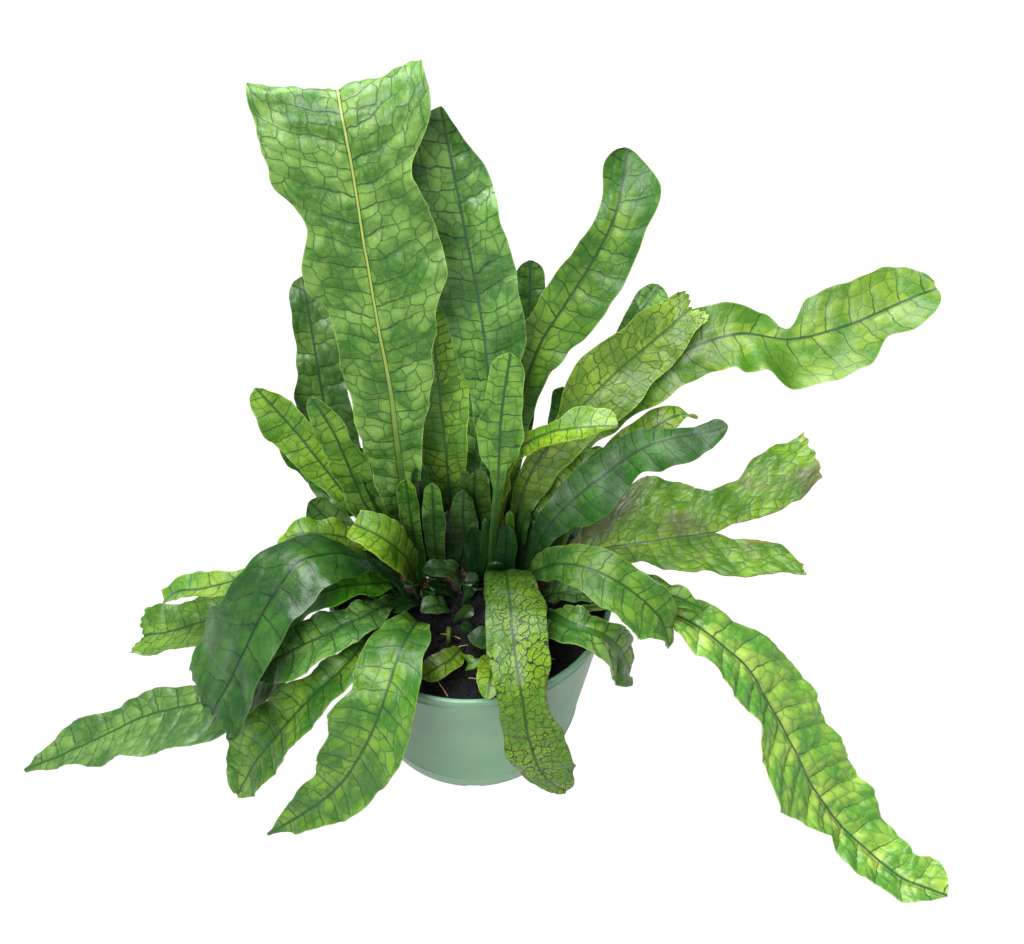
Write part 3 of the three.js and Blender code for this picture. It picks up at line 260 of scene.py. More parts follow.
FRONDS = [
    Frond("tall_front", "bright", 90, [
        (-30, 18, 100), (-33, 20, 135), (-36, 23, 178), (-38, 29, 222), (-42, 35, 262), (-46, 43, 305),
        (-49, 51, 338), (-52, 58, 357), (-54, 67, 363), (-56, 77, 354), (-58, 84, 335), (-59, 87, 312),
    ], [2, 5, 10, 14, 17, 20, 21, 21, 30, 25, 35, 38, 39, 31, 24],
        [2, 4, 8, 11, 13, 19, 24, 29, 37, 35, 28, 40, 39, 36, 26], wave=(2.5, 7, 0.5), cup=0.12, tip="cut",
        roll=[0, 0, 0, -3, -6, -6]),
    Frond("tall_centre", "dark", 90, [
        (6, 30, 100), (8, 33, 140), (11, 38, 182), (10, 44, 224), (6, 51, 262), (0, 60, 296), (-5, 68, 324),
        (-10, 78, 350),
    ], [2, 3, 5, 10, 16, 21, 22, 14], [2, 3, 5, 14, 21, 20, 16.5, 3], wave=(2.5, 6, 1)),
    Frond("back_small", "dark", 90, [
        (16, 44, 100), (21, 57, 138), (27, 72, 185), (31, 85, 225), (32, 100, 252),
    ], [2, 4, 9, 10, 8]),
    Frond("tall_right", "mid", 85, [
        (20, 31, 100), (20, 39, 140), (25, 49, 190), (36, 56, 230), (48, 60, 252), (62, 66, 276), (72, 73, 298),
        (77, 89, 323),
    ], [2, 3, 6, 10, 13, 12.5, 8.5, 10], [2, 2.5, 3, 5, 7, 7, 9, 10, 15, 18, 19, 18, 16.5, 18.5, 8],
        wave=(2, 5, 2)),
    Frond("back_right", "dark", 80, [
        (33, 32, 100), (39, 43, 150), (52, 62, 178), (75, 82, 205), (101, 103, 234),
    ], [2, 3, 3, 3, 8], [2, 3, 4, 10, 12]),
    Frond("olive_broad", "olive", 85, [
        (27, 20, 100), (25, 24, 140), (34, 32, 168), (54, 43, 194), (78, 54, 217), (100, 62, 235),
        (116, 71, 246),
    ], [2, 3, 6, 6, 18, 16, 11], [2, 5, 12, 15, 19, 16, 10], wave=(1.5, 4, 0), tip="cut"),
    Frond("lime_fold", "lime", 20, [
        (14, 22, 100), (16, 23, 130), (19, 22, 160), (22, 20, 182), (29, 15, 200), (46, 8, 216), (73, 3, 223),
    ], [2, 4, 6, 6, 5, 5, 5, 5, 4.5, 10.5, 12], [2, 5, 6, 6, 10, 7], cup=0.3),
    Frond("mid_bright", "glaucous", 90, [
        (11, 5, 100), (12, 6, 140), (15, 9, 180), (17, 12, 222), (19.5, 15, 243), (21.5, 17, 257),
    ], [2, 2, 2, 2, 2, 2, 4, 10, 11.5, 9.5, 8.5, 8], wave=(1.2, 4, 0)),
    Frond("right_long_top", "light", 60, [
        (42, 28, 100), (46, 39, 135), (60, 52, 172), (82, 58, 200), (108, 60, 222), (137, 62, 233),
        (163, 60, 231), (193, 63, 238), (218, 68, 248), (237, 74, 253),
    ], [2, 2.5, 3, 4, 4.5, 6, 11, 13, 14, 16, 18, 17, 12.5, 5.5, 20, 20, 20, 21.5, 22],
        [2, 2.5, 3, 4.5, 6, 9, 13, 14.5, 17, 16, 15.5, 17, 27, 28, 26, 24.5, 13, 18, 18], wave=(2, 6, 1),
        roll=[0, 0, 0, 0, 8, 22, 28, 18, 8, 0]),
    Frond("lime_small_right", "lime", 60, [
        (46, 12, 100), (51, 23, 126), (68, 39, 149), (90, 48, 173), (112, 52, 187), (121, 52, 185),
    ], [2, 4, 9.5, 9, 9, 4], [2, 3, 6, 8, 8, 3]),
    Frond("right_dark", "blue", 60, [
        (36, 6, 100), (36, 9, 130), (48, 14, 152), (68, 20, 171), (93, 26, 189), (119, 30, 193), (133, 32, 197),
    ], [2, 4, 8, 11, 11, 5, 6], [2, 3, 4, 7, 10, 16, 19, 14, 11, 18, 18, 11, 6], wave=(1.5, 4, 0)),
    Frond("right_forked", "bruised", 5, [
        (44, 4, 100), (46, 6, 116), (62, 8, 126), (91, 10, 132), (120, 12, 136), (150, 14, 140), (172, 15, 145),
        (192, 15, 151),
    ], [2, 6, 12, 25, 40, 47, 42, 29, 36, 49, 57, 62], [2, 4, 7, 12, 15, 20, 26, 31, 34, 36, 36, 30],
        wave=(2, 5, 0), cup=0, tip="cut"),
    Frond("right_arch", "mid", 0, [
        (30, -4, 100), (31, -4, 120), (47, -12, 140), (67, -23, 146), (87, -33, 138), (98, -39, 128),
        (102, -48, 116),
    ], [2, 5, 9, 12, 12, 12, 9], [2, 5, 9, 13, 18, 20, 11], wave=(1.5, 4, 0), roll=[0, 0, 5, 15, 25, 25, 15]),
    Frond("right_long_low", "yellow", -35, [
        (54, -18, 100), (58, -20, 111), (72, -21, 116), (90, -19, 114), (111, -26, 113), (131, -37, 106),
        (148, -46, 92), (159, -55, 76), (171, -66, 58), (184, -79, 36), (200, -91, 17), (216, -103, 7),
        (233, -117, 3), (254, -126, 3),
    ], [2, 4, 9, 11, 16, 19, 27, 28, 29, 30, 28, 20, 15, 27],
        [2, 4, 8, 12, 15, 21, 17.5, 27, 37, 21, 13, 18, 12, 10], wave=(2.5, 8, 0)),
    Frond("right_tucked", "mid", -15, [
        (56, 3, 100), (60, 1, 112), (74, -5, 119), (94, -14, 122), (111, -22, 123), (122, -27, 120),
    ], [2, 3, 6, 8, 7, 3]),
    Frond("front_right_arch", "bright", -20, [
        (42, -20, 100), (43, -28, 116), (54, -45, 129), (67, -48, 126), (77, -46, 110), (84, -46, 91),
    ], [2, 4, 10, 9, 12, 11], [2, 5, 12, 15, 18, 14], wave=(1.5, 3, 0)),
    Frond("front_netted", "net", -90, [
        (18, 4, 100), (18, -3, 122), (19, -16, 137), (21, -38, 142), (23, -62, 138), (27, -82, 122),
        (31, -90, 95), (39, -92, 66), (51, -90, 49),
    ], [2, 8, 15, 18, 17, 12, 18, 18, 8], [2, 8, 12, 13, 13, 12, 13, 12, 5], cup=-0.1),
    Frond("baby_left", "lime", 220, [
        (-6, -37, 100), (-6, -43, 106), (-10, -51, 109), (-16, -56, 110), (-24, -60, 107),
    ], [1.5, 4, 7, 7.5, 5], wave=(0.5, 2, 0)),
    Frond("baby_mid", "lime", 20, [
        (0, -43, 100), (-1, -49, 107), (0, -53, 110), (3, -54, 111), (6, -52, 111),
    ], [1.3, 3, 5, 4, 2], wave=(0.5, 2, 0)),
    Frond("baby_down", "lime", -90, [
        (13, -42, 100), (13, -47, 109), (12, -60, 115), (11, -72, 117), (10, -79, 115),
    ], [1.5, 4, 7, 7, 4], wave=(0.5, 2, 0)),
    Frond("front_left_near", "mid", -120, [
        (-28, -22, 100), (-27, -30, 114), (-28, -44, 128), (-33, -64, 134), (-40, -84, 122), (-49, -93, 100),
        (-66, -97, 66), (-87, -98, 40), (-109, -98, 18),
    ], [2, 6, 12, 19, 21, 18.5, 15, 8, 1], [2, 8, 16, 18, 23, 18, 13, 9, 1], wave=(2, 6, 0), tip="point"),
    Frond("front_left_far", "mid", -145, [
        (-44, -18, 100), (-46, -26, 111), (-52, -42, 118), (-60, -57, 116), (-76, -66, 104), (-92, -71, 86),
        (-109, -77, 64), (-126, -84, 34),
    ], [2, 4, 9, 13, 14, 16, 15, 6], [2, 4, 7, 10.5, 15, 21, 25, 9], wave=(2, 5, 0)),
    Frond("left_lowest", "grey", 195, [
        (-52, -8, 100), (-55, -14, 110), (-68, -32, 118), (-89, -46, 106), (-112, -52, 92), (-133, -54, 80),
        (-174, -52, 62), (-211, -55, 40), (-251, -60, 19),
    ], [2, 3, 8, 20, 27, 26, 21, 11, 1], [2, 3, 8, 10, 12, 12.5, 13, 16, 2], wave=(2, 6, 0), tip="point"),
    Frond("left_dark_big", "deep", 215, [
        (-36, -6, 100), (-38, -8, 116), (-50, -8, 134), (-66, -14, 150), (-84, -26, 157), (-97, -44, 150),
        (-107, -60, 138), (-117, -70, 121), (-124, -76, 110), (-129, -80, 102),
    ], [2, 3, 8, 16, 21, 21, 18, 17, 20, 20], [2, 3, 8, 13, 20, 26, 33, 40, 39, 31], cup=-0.1, tip="cut"),
    Frond("left_tip_high", "lime", 180, [
        (-46, 20, 100), (-52, 22, 112), (-66, 24, 119), (-83, 21, 127), (-97, 19, 128), (-106, 16, 121),
    ], [2, 3, 8, 10, 9, 5]),
    Frond("left_lime", "light", 178, [
        (-53, 14, 100), (-59, 12, 118), (-80, 2, 130), (-109, -9, 130), (-137, -14, 124), (-156, -12, 117),
        (-166, -11, 108),
    ], [2, 4, 9, 10, 10, 7, 2], [2, 4, 7, 9, 6, 11, 6], wave=(1.5, 4, 0), tip="point"),
    Frond("left_cut", "olive_green", 185, [
        (-54, 4, 100), (-58, 3, 111), (-75, -2, 117), (-98, -8, 111), (-122, -13, 105), (-144, -16, 98),
        (-164, -18, 91), (-184, -16, 84),
    ], [2, 3, 7, 13, 16, 18, 16, 12], [2, 3, 7, 12, 13, 15, 17, 17], wave=(1.5, 4, 0), tip="cut"),
    Frond("left_mid_upper", "green_dark_edge", 195, [
        (-44, 2, 100), (-45, -3, 114), (-53, -14, 126), (-72, -22, 131), (-93, -27, 124), (-110, -30, 112),
    ], [2, 5, 9, 13, 16, 9], [2, 5, 8, 9, 9, 5]),
    Frond("left_mid_lower", "dark", 215, [
        (-42, -10, 100), (-43, -17, 113), (-53, -34, 125), (-75, -50, 127), (-94, -54, 118), (-109, -56, 107),
    ], [2, 5, 12, 16, 17, 9], [2, 5, 9, 12, 11, 5]),
    Frond("left_upper_lime", "lime_mid", 90, [
        (-43, 30, 100), (-50, 31, 118), (-66, 34, 140), (-80, 40, 162), (-95, 46, 185), (-111, 52, 206),
    ], [2, 4, 6, 11, 14, 9], [2, 3, 5, 8, 11, 6]),
    Frond("left_upper_mid", "mid", 90, [
        (-38, 22, 100), (-43, 23, 118), (-56, 26, 143), (-62, 29, 163), (-69, 32, 190), (-76, 35, 206),
        (-80, 37, 212),
    ], [2, 5, 8, 9, 9, 6], [2, 7, 11, 12, 8, 5]),
    Frond("left_upper_olive", "olive_brown", 90, [
        (-52, 33, 100), (-57, 37, 116), (-73, 47, 132), (-93, 52, 154), (-105, 53, 170),
    ], [2, 4, 7, 8, 5]),
    Frond("back_left_tall", "grey", 90, [
        (-45, 43, 100), (-54, 51, 118), (-70, 60, 136), (-79, 68, 168), (-83, 79, 208), (-87, 94, 246),
    ], [2, 4, 18, 24, 18, 16, 14.5, 11.5, 8.5, 9, 8], [2, 6, 15, 15, 14, 8], wave=(2, 5, 0)),
    Frond("front_lime_curl", "lime", 165, [
        (-30, 0, 100), (-31, -6, 124), (-34, -13, 148), (-42, -16, 163), (-58, -11, 169),
    ], [1.5, 3, 10, 13, 9], [1.5, 3, 8, 13, 10], wave=(1, 2, 0), cup=0.1, tip="point"),
    Frond("netted_upright", "net_green", 90, [
        (-28, 7, 100), (-29, 7, 125), (-31, 9, 155), (-32, 10, 180),
    ], [2, 4.5, 5.5, 5], [2, 4.5, 5, 5], wave=(0.5, 2, 0)),
    Frond("small_upright", "glaucous", 90, [
        (-18, 11, 100), (-19, 10, 130), (-19, 11, 160), (-19, 12, 175),
    ], [2, 5, 6, 4.5], wave=(0.5, 2, 0)),
    Frond("olive_behind", "olive_net", 90, [
        (-12, 32, 100), (-12, 38, 128), (-13, 44, 156), (-15, 50, 192), (-17, 56, 226), (-17, 62, 258),
    ], [2, 6, 13, 14, 14, 12], [2, 6, 11, 15, 16, 10], wave=(1.5, 4, 0)),
    Frond("dying_brown", "brown", 90, [
        (-2, 14, 100), (-3, 16, 125), (-4, 18, 150), (-3, 20, 162),
    ], [1.5, 6, 8, 5], wave=(1, 2, 0)),
    Frond("stub_broad", "olive_green", 90, [
        (2, 22, 100), (2, 23, 130), (2, 25, 158), (3, 27, 172),
    ], [2, 6.5, 9, 8], wave=(0.8, 2, 0), tip="cut"),
    Frond("spear_mid", "bright", 90, [(7, 11, 100), (8, 11, 130), (8, 12, 148)], [2, 3, 2], wave=(0, 1, 0)),
    Frond("spear_lime", "lime", 90, [
        (21, 12, 100), (21, 12, 125), (21, 13, 153),
    ], [1.5, 3.2, 2.2], wave=(0, 1, 0)),
    Frond("baby_dark_left", "dark", 200, [
        (-12, -12, 100), (-14, -14, 107), (-18, -17, 112), (-22, -20, 114), (-26, -22, 113),
    ], [1.3, 4, 6, 6, 4], wave=(0.3, 1, 0)),
    Frond("baby_blue", "grey", 180, [
        (12, -31, 100), (10, -35, 106), (5, -36, 109), (-1, -35, 109),
    ], [1.5, 5, 7, 3], wave=(0.3, 1, 0)),
    Frond("spoon_right", "glaucous", 90, [
        (-8.5, -18, 100), (-5, -18, 105), (1, -16, 110),
    ], [1.2, 3, 5.5], [1.2, 3, 5], wave=(0, 1, 0)),
    Frond("spoon_front", "blue", 180, [
        (2, -26, 100), (0, -27, 105), (-5, -27, 108),
    ], [1, 3, 3.5], wave=(0, 1, 0)),
    Frond("spoon_back", "glaucous", 90, [
        (-4, -6, 100), (-3, -7, 106), (0, -6, 112),
    ], [1, 1.4, 3.4], wave=(0, 1, 0)),
    Frond("back_dark_wavy", "dark", 80, [
        (32, 58, 100), (36, 62, 122), (45, 69, 153), (50, 74, 188),
    ], [2, 3, 5, 5], [2, 3, 5, 4], wave=(1, 4, 0)),
    Frond("right_inner_upper", "lime_mid", 60, [
        (33, 14, 100), (36, 20, 126), (48, 33, 150), (63, 39, 166), (71, 42, 172),
    ], [1.8, 4, 6, 6, 4]),
    Frond("right_inner_brown", "olive_brown", 60, [
        (27, 11, 100), (26, 14, 120), (28, 17, 138), (31, 19, 148),
    ], [1.6, 3, 4, 3]),
    Frond("right_under_dark", "dark", -5, [
        (38, -9, 100), (41, -10, 111), (50, -12, 117), (61, -14, 119), (70, -15, 118),
    ], [2, 6, 10, 10, 6], [2, 5, 8, 8, 5]),
    Frond("back_low_left", "dark", 90, [
        (-14, 46, 100), (-17, 54, 125), (-25, 74, 158), (-31, 100, 174), (-35, 128, 168), (-38, 150, 148),
    ], [2, 6, 12, 14, 13, 6], wave=(1.5, 4, 0)),
    Frond("back_low_right", "dark", 80, [
        (0, 44, 100), (0, 54, 128), (4, 76, 160), (9, 102, 178), (15, 130, 174), (20, 152, 156),
    ], [2, 5, 10, 13, 13, 6], wave=(1.5, 4, 1)),
    Frond("left_grey_low", "grey", 145, [
        (-56, 23, 100), (-63, 27, 110), (-72, 32, 116), (-81, 37, 122), (-91, 42, 131),
    ], [2, 5, 10, 13, 10], [2, 4, 8, 11, 9], wave=(1, 2, 0)),
    Frond("crown_left_arch", "dark", 180, [
        (-6, 4, 100), (-8, 3, 113), (-14, 1, 120), (-21, 0, 122), (-26, 0, 121),
    ], [2, 4, 6, 6, 4], wave=(0.5, 2, 0)),
]

# The forked frond splits along its midrib from `start`: each half then keeps its own distance from the
# midrib, and the short lobe ends early.
FORK_NAME = "right_forked"
FORK = dict(start=0.63, plus=[0, 4, 6, 12, 25], minus=[0, 7, 9, 15, 30], plus_end=1.0, minus_end=0.88)

# A young frond still rolled up, on a short stem
COIL = dict(foot=(-9, -27, 100), lean=(-2, -3, 8), first_radius=4.2, last_radius=1.6, turns=1.15,
            points_per_turn=8, half_widths=[1.4, 1.4, 1.2, 0.9])

# Young dark leaves that crowd the crown, too many to be nodes. Each is the place of its foot on the peat, the
# heading it leans to, how far it leans, its length and its half width.
CROWN_LEAVES = [
    (-30, 3, 250, 0.5, 26, 6), (-23, 1, 285, 0.6, 24, 5), (-17, 3, 235, 0.4, 30, 5), (-3, 4, 290, 0.5, 24, 6),
    (6, 1, 250, 0.5, 22, 5), (-9, -2, 200, 0.6, 24, 5), (13, -3, 275, 0.2, 46, 5), (18, -1, 80, 0.2, 52, 6),
    (4, 6, 110, 0.2, 44, 6), (-25, 12, 95, 0.1, 84, 6), (-38, 6, 190, 0.7, 32, 7), (-37, -4, 215, 0.7, 30, 6),
    (-28, -8, 230, 0.8, 26, 6), (33, 5, 300, 0.5, 28, 6), (28, 8, 70, 0.3, 46, 6), (-10, 12, 95, 0.2, 50, 6),
    (-40, 20, 135, 0.3, 88, 7), (-42, 18, 140, 0.6, 45, 7), (-14, -12, 160, 0.7, 20, 5),
    (-2, -6, 60, 0.4, 22, 4),
]
CROWN_LEAF_STEPS = (0, 0.35, 0.7, 1)
CROWN_LEAF_WIDTHS = (0.25, 0.5, 0.9, 1, 0.7)


class Value:
    """An output of a node. Plain arithmetic with it adds Math nodes to its tree."""

    def __init__(self, made, output=0):
        self.tree = made.id_data
        self.socket = made.outputs[output]

    def __add__(self, other):
        return maths("ADD", self, other)

    def __sub__(self, other):
        return maths("SUBTRACT", self, other)

    def __rsub__(self, other):
        return maths("SUBTRACT", other, self)

    def __mul__(self, other):
        return maths("MULTIPLY", self, other)

    def __truediv__(self, other):
        return maths("DIVIDE", self, other)


def linear(code):
    """An sRGB hex colour as the linear colour that a socket takes."""
    channels = [int(code[i:i + 2], 16) / 255 for i in (0, 2, 4)]
    return (*[c / 12.92 if c < 0.04045 else ((c + 0.055) / 1.055) ** 2.4 for c in channels], 1)


def fill(made, inputs):
    """Gives a node's inputs, by name or number, a constant each or a link to a Value."""
    for name, given in inputs.items():
        if isinstance(given, Value):
            given.tree.links.new(given.socket, made.inputs[name])
        else:
            made.inputs[name].default_value = given


def node(tree, kind, inputs, **settings):
    made = tree.nodes.new(kind)
    for name, setting in settings.items():
        setattr(made, name, setting)
    fill(made, inputs)
    return made


def maths(operation, *values):
    """The result of a Math node on numbers and Values."""
    tree = next(v.tree for v in values if isinstance(v, Value))
    return Value(node(tree, "ShaderNodeMath", dict(enumerate(values)), operation=operation))


def ease(value, low, high, to_low=0, to_high=1):
    """A Value eased from low..high to the other range."""
    inputs = {"Value": value, "From Min": low, "From Max": high, "To Min": to_low, "To Max": to_high}
    return Value(node(value.tree, "ShaderNodeMapRange", inputs, interpolation_type="SMOOTHSTEP"))


def blend(factor, first, second):
    """Two colours mixed by a Value; a colour is a hex code or a Value."""
    first, second = [linear(c) if isinstance(c, str) else c for c in (first, second)]
    return Value(node(factor.tree, "ShaderNodeMix", {0: factor, 6: first, 7: second}, data_type="RGBA"), 2)


def parts(vector):
    """The three numbers of a vector."""
    split = node(vector.tree, "ShaderNodeSeparateXYZ", {0: vector})
    return [Value(split, i) for i in range(3)]


def attribute(tree, name):
    """A vector attribute, in a material or in geometry nodes."""
    if tree.type == "SHADER":
        return Value(node(tree, "ShaderNodeAttribute", {}, attribute_name=name), "Vector")
    return Value(node(tree, "GeometryNodeInputNamedAttribute", {"Name": name}, data_type="FLOAT_VECTOR"))


def joined(x, y, z=0):
    """A vector from three numbers, of which y or z is a Value."""
    tree = (y if isinstance(y, Value) else z).tree
    return Value(node(tree, "ShaderNodeCombineXYZ", {0: x, 1: y, 2: z}))


def noise(vector, scale, detail=2, **inputs):
    inputs = {"Vector": vector, "Scale": scale, "Detail": detail, **inputs}
    return Value(node(vector.tree, "ShaderNodeTexNoise", inputs))


def voronoi(vector, feature, scale=1, randomness=0.8, output="Distance"):
    """A flat pattern of cells: the distance from their edges, or each cell's own colour."""
    inputs = {"Vector": vector, "Scale": scale, "Randomness": randomness}
    made = node(vector.tree, "ShaderNodeTexVoronoi", inputs, voronoi_dimensions="2D", feature=feature)
    return Value(made, output)


def bump(height, strength, distance):
    inputs = {"Strength": strength, "Distance": distance, "Height": height}
    return Value(node(height.tree, "ShaderNodeBump", inputs))


def vein_field(tree, look):
    """The veins of a blade, from its `blade_mm` attribute: mm along, mm across and the frond's own number.

    The side veins leave the midrib every `spacing` mm. Two rows of cells about `cell` mm wide lie between
    two of them, or cells of any shape where the net is `free`. Returns, all in mm from the nearest one:
    the side veins, the net and the fine net. With them go how far along the blade and how far out from the
    midrib the point is, a slow noise, a quick one and a number of each cell's own.
    """
    spacing, cell = look["spacing"], look["cell"]
    along, across, number = parts(attribute(tree, "blade_mm"))
    out = maths("ABSOLUTE", across)
    place = joined(along, across, number)
    drift = noise(place, 1 / 18, 1) - 0.5
    ripple = noise(place, 1 / 4.5, 1) - 0.5
    # The side veins slant towards the tip, more so further out, and wander
    rise = out * 0.24 + out * out * 0.007
    level = along - rise + (drift * 7 + ripple * 2.6)
    # Those of the two sides leave the midrib at different places
    phase = maths("SIGN", across) * 0.21 + level / spacing
    in_strip = maths("FRACT", phase)
    if look["free"]:
        warp = ripple * 1.5
        cells = joined(along * (1 / cell) + warp, across / cell - warp)
    else:
        row = maths("FLOOR", phase) * 2 + in_strip * 1.4
        cells = joined(row + 0.16, across / cell)
    return dict(
        run=maths("MODULO", along, VEIN_STEP), out=out, place=place, drift=drift, ripple=ripple,
        main=(0.5 - maths("ABSOLUTE", in_strip - 0.5)) * spacing,
        net=voronoi(cells, "DISTANCE_TO_EDGE") * cell,
        fine=voronoi(cells, "DISTANCE_TO_EDGE", FINE_NET, 0.9) * (cell / FINE_NET),
        own=voronoi(cells, "F1", output="Color"),
    )


def domed(distance, reach):
    """0 at a vein and 1 from `reach` mm on, round like a cushion between."""
    part = maths("MINIMUM", distance / reach, 1)
    return part * (2 - part)


def blister_height(veins, look):
    """How far the blade stands up between its veins, from 0 to about 1."""
    strip = domed(veins["main"], look["spacing"] * 0.48)
    blister = domed(veins["net"], look["cell"] * 0.42)
    pimple = domed(veins["fine"], look["cell"] * 0.16)
    if look["free"]:
        height = strip * 0.3 + blister * 0.6
    else:
        height = strip * (blister * 0.45 + 0.5)
    return (pimple * 0.06 + height) * ease(veins["out"], 0.6, 4)


def relief_nodes(tone):
    """Geometry nodes that raise the blisters of a blade between its veins, along its `lift` attribute."""
    look = TONES[tone]
    tree = bpy.data.node_groups.new("blisters_" + tone, "GeometryNodeTree")
    for way in ("INPUT", "OUTPUT"):
        tree.interface.new_socket("Geometry", in_out=way, socket_type="NodeSocketGeometry")
    veins = vein_field(tree, look)
    height = blister_height(veins, look) * (look["puff"] * MM) + veins["drift"] * (SLOW_SWELL * MM)
    offset = node(tree, "ShaderNodeVectorMath", {0: attribute(tree, "lift"), "Scale": height}, operation="SCALE")
    given = Value(node(tree, "NodeGroupInput", {}))
    moved = node(tree, "GeometryNodeSetPosition", {"Geometry": given, "Offset": Value(offset)})
    node(tree, "NodeGroupOutput", {0: Value(moved)})
    return tree


def surface_material(name):
    """A new material with its Principled shader and the place of each point, in metres."""
    material = bpy.data.materials.new(name)
    material.use_nodes = True
    tree = material.node_tree
    place = Value(node(tree, "ShaderNodeTexCoord", {}), "Object")
    return material, tree.nodes["Principled BSDF"], place


def leaf_material(tone):
    """A waxy living leaf: satin gloss on the blisters, dark sunken veins, and light that shines through."""
    look = TONES[tone]
    blade, mottle, glow, vein, rib, margin = look["colours"]
    material, shader, place = surface_material("waxy_fern_leaf_" + tone)
    tree = material.node_tree
    veins = vein_field(tree, look)
    out = veins["out"]
    edge, share, under = parts(attribute(tree, "blade_part"))
    slow = noise(veins["place"], 1 / 20, 3, Roughness=0.6)
    quick = noise(veins["place"], 1 / 2.6, 3, Roughness=0.7)

    # Mottled in clouds, each cell of the net a little different, and lighter beside the midrib
    tint = parts(veins["own"])[0] * 0.12 + slow * 0.95
    colour = blend(ease(tint, 0.42, 0.7), mottle, blade)
    colour = blend(ease(out, 1.5, 9, look["rib_glow"], 0) * ease(slow, 0.4, 0.6), colour, glow)
    colour = blend(ease(quick, 0.45, 0.75) * 0.25, colour, glow)
    colour = blend((1 - domed(veins["net"], look["cell"] * 0.3)) * 0.3, colour, mottle)

    # Dark veins, fainter towards the margin and in patches
    main_line = ease(veins["main"], 0.14, 0.6, 1, 0) * ease(out, 4, 26, 1, 0.4) * look["side_veins"]
    wide = look["net_width"]
    net_line = ease(veins["net"], wide * 0.2, wide, 1, 0) * look["net"]
    fine_line = ease(veins["fine"], 0.04, 0.24, 1, 0) * (look["net"] * look["fine"])
    lines = maths("MAXIMUM", net_line, fine_line) * ease(slow, 0.35, 0.6, 0.55, 1)
    lines = maths("MAXIMUM", main_line, lines) * share
    colour = blend(maths("MINIMUM", lines, 1), colour, vein)

    # Stains, the margin, the midrib, the bare stem, the underside and the painted shade of the crown
    if look["bruise"]:
        colour = blend(ease(noise(veins["place"], 1 / 40), 0.5, 0.64, 0, 0.7), colour, look["bruise"])
    colour = blend(ease(edge, 0.1, 0.7, 0.4, 0), colour, margin)
    if look["edge_stain"]:
        ragged = veins["drift"] * 14 + edge
        colour = blend(ease(ragged, -2.5, look["edge_stain"], 0.9, 0), colour, margin)
    if look["pale_rib"]:
        past = out - ease(veins["run"], 40, 180, 1.8, 0.65)
        colour = blend(ease(past, 0, 0.6, 0.85, 0), colour, vein)
        fresh = blend(ease(veins["run"], 40, 200), mottle, rib)
        colour = blend(ease(past, -0.3, 0, 0.9, 0), colour, fresh)
    else:
        colour = blend(ease(out, 0.3, 1.1, 0.9, 0), colour, rib)
    colour = blend((1 - share) * 0.6, colour, mottle)
    colour = blend(under * 0.35, colour, glow)
    # Painted shade: the nearer the crown's centre, the more the colour goes to a dark shade green
    centre = [c * MM for c in CROWN_SHADE["centre"]]
    inward = Value(node(tree, "ShaderNodeVectorMath", {0: place, 1: centre}, operation="DISTANCE"), "Value")
    painted_crown_shade = ease(inward, CROWN_SHADE["deep"] * MM, CROWN_SHADE["clear"] * MM, CROWN_SHADE["shade"], 0)
    colour = blend(painted_crown_shade, colour, CROWN_SHADE["colour"])

    # Fine relief on top of the moulded blisters, and the light that comes through
    depth = blister_height(veins, look) * (look["puff"] * 0.35 * MM)
    relief = quick * (0.12 * MM) + depth * share
    gloss = ease(quick, 0.3, 0.7, *look["gloss"])
    fill(shader, {"Base Color": colour, "Roughness": gloss, "IOR": 1.42, "Normal": bump(relief, 1, 1)})
    through = Value(node(tree, "ShaderNodeBsdfTranslucent", {"Color": colour}))
    both = node(tree, "ShaderNodeMixShader", {0: 0.15, 1: Value(shader), 2: through})
    fill(tree.nodes["Material Output"], {"Surface": Value(both)})
    return material


def nibbles(frond, s, side, number):
    """How far the margin draws in here and there, in mm, by a few sines of its own for each frond and side."""
    run = s * frond.length
    turn = number * 2.4 + np.where(side > 0, 0, 1.7)
    swell = 0.5 * np.sin(run / 5.3 + turn) + 0.35 * np.sin(run / 2.9 + 2 * turn)
    return (swell + 0.3 * np.sin(run / 9.1 - turn)) * frond.blade_share(s)


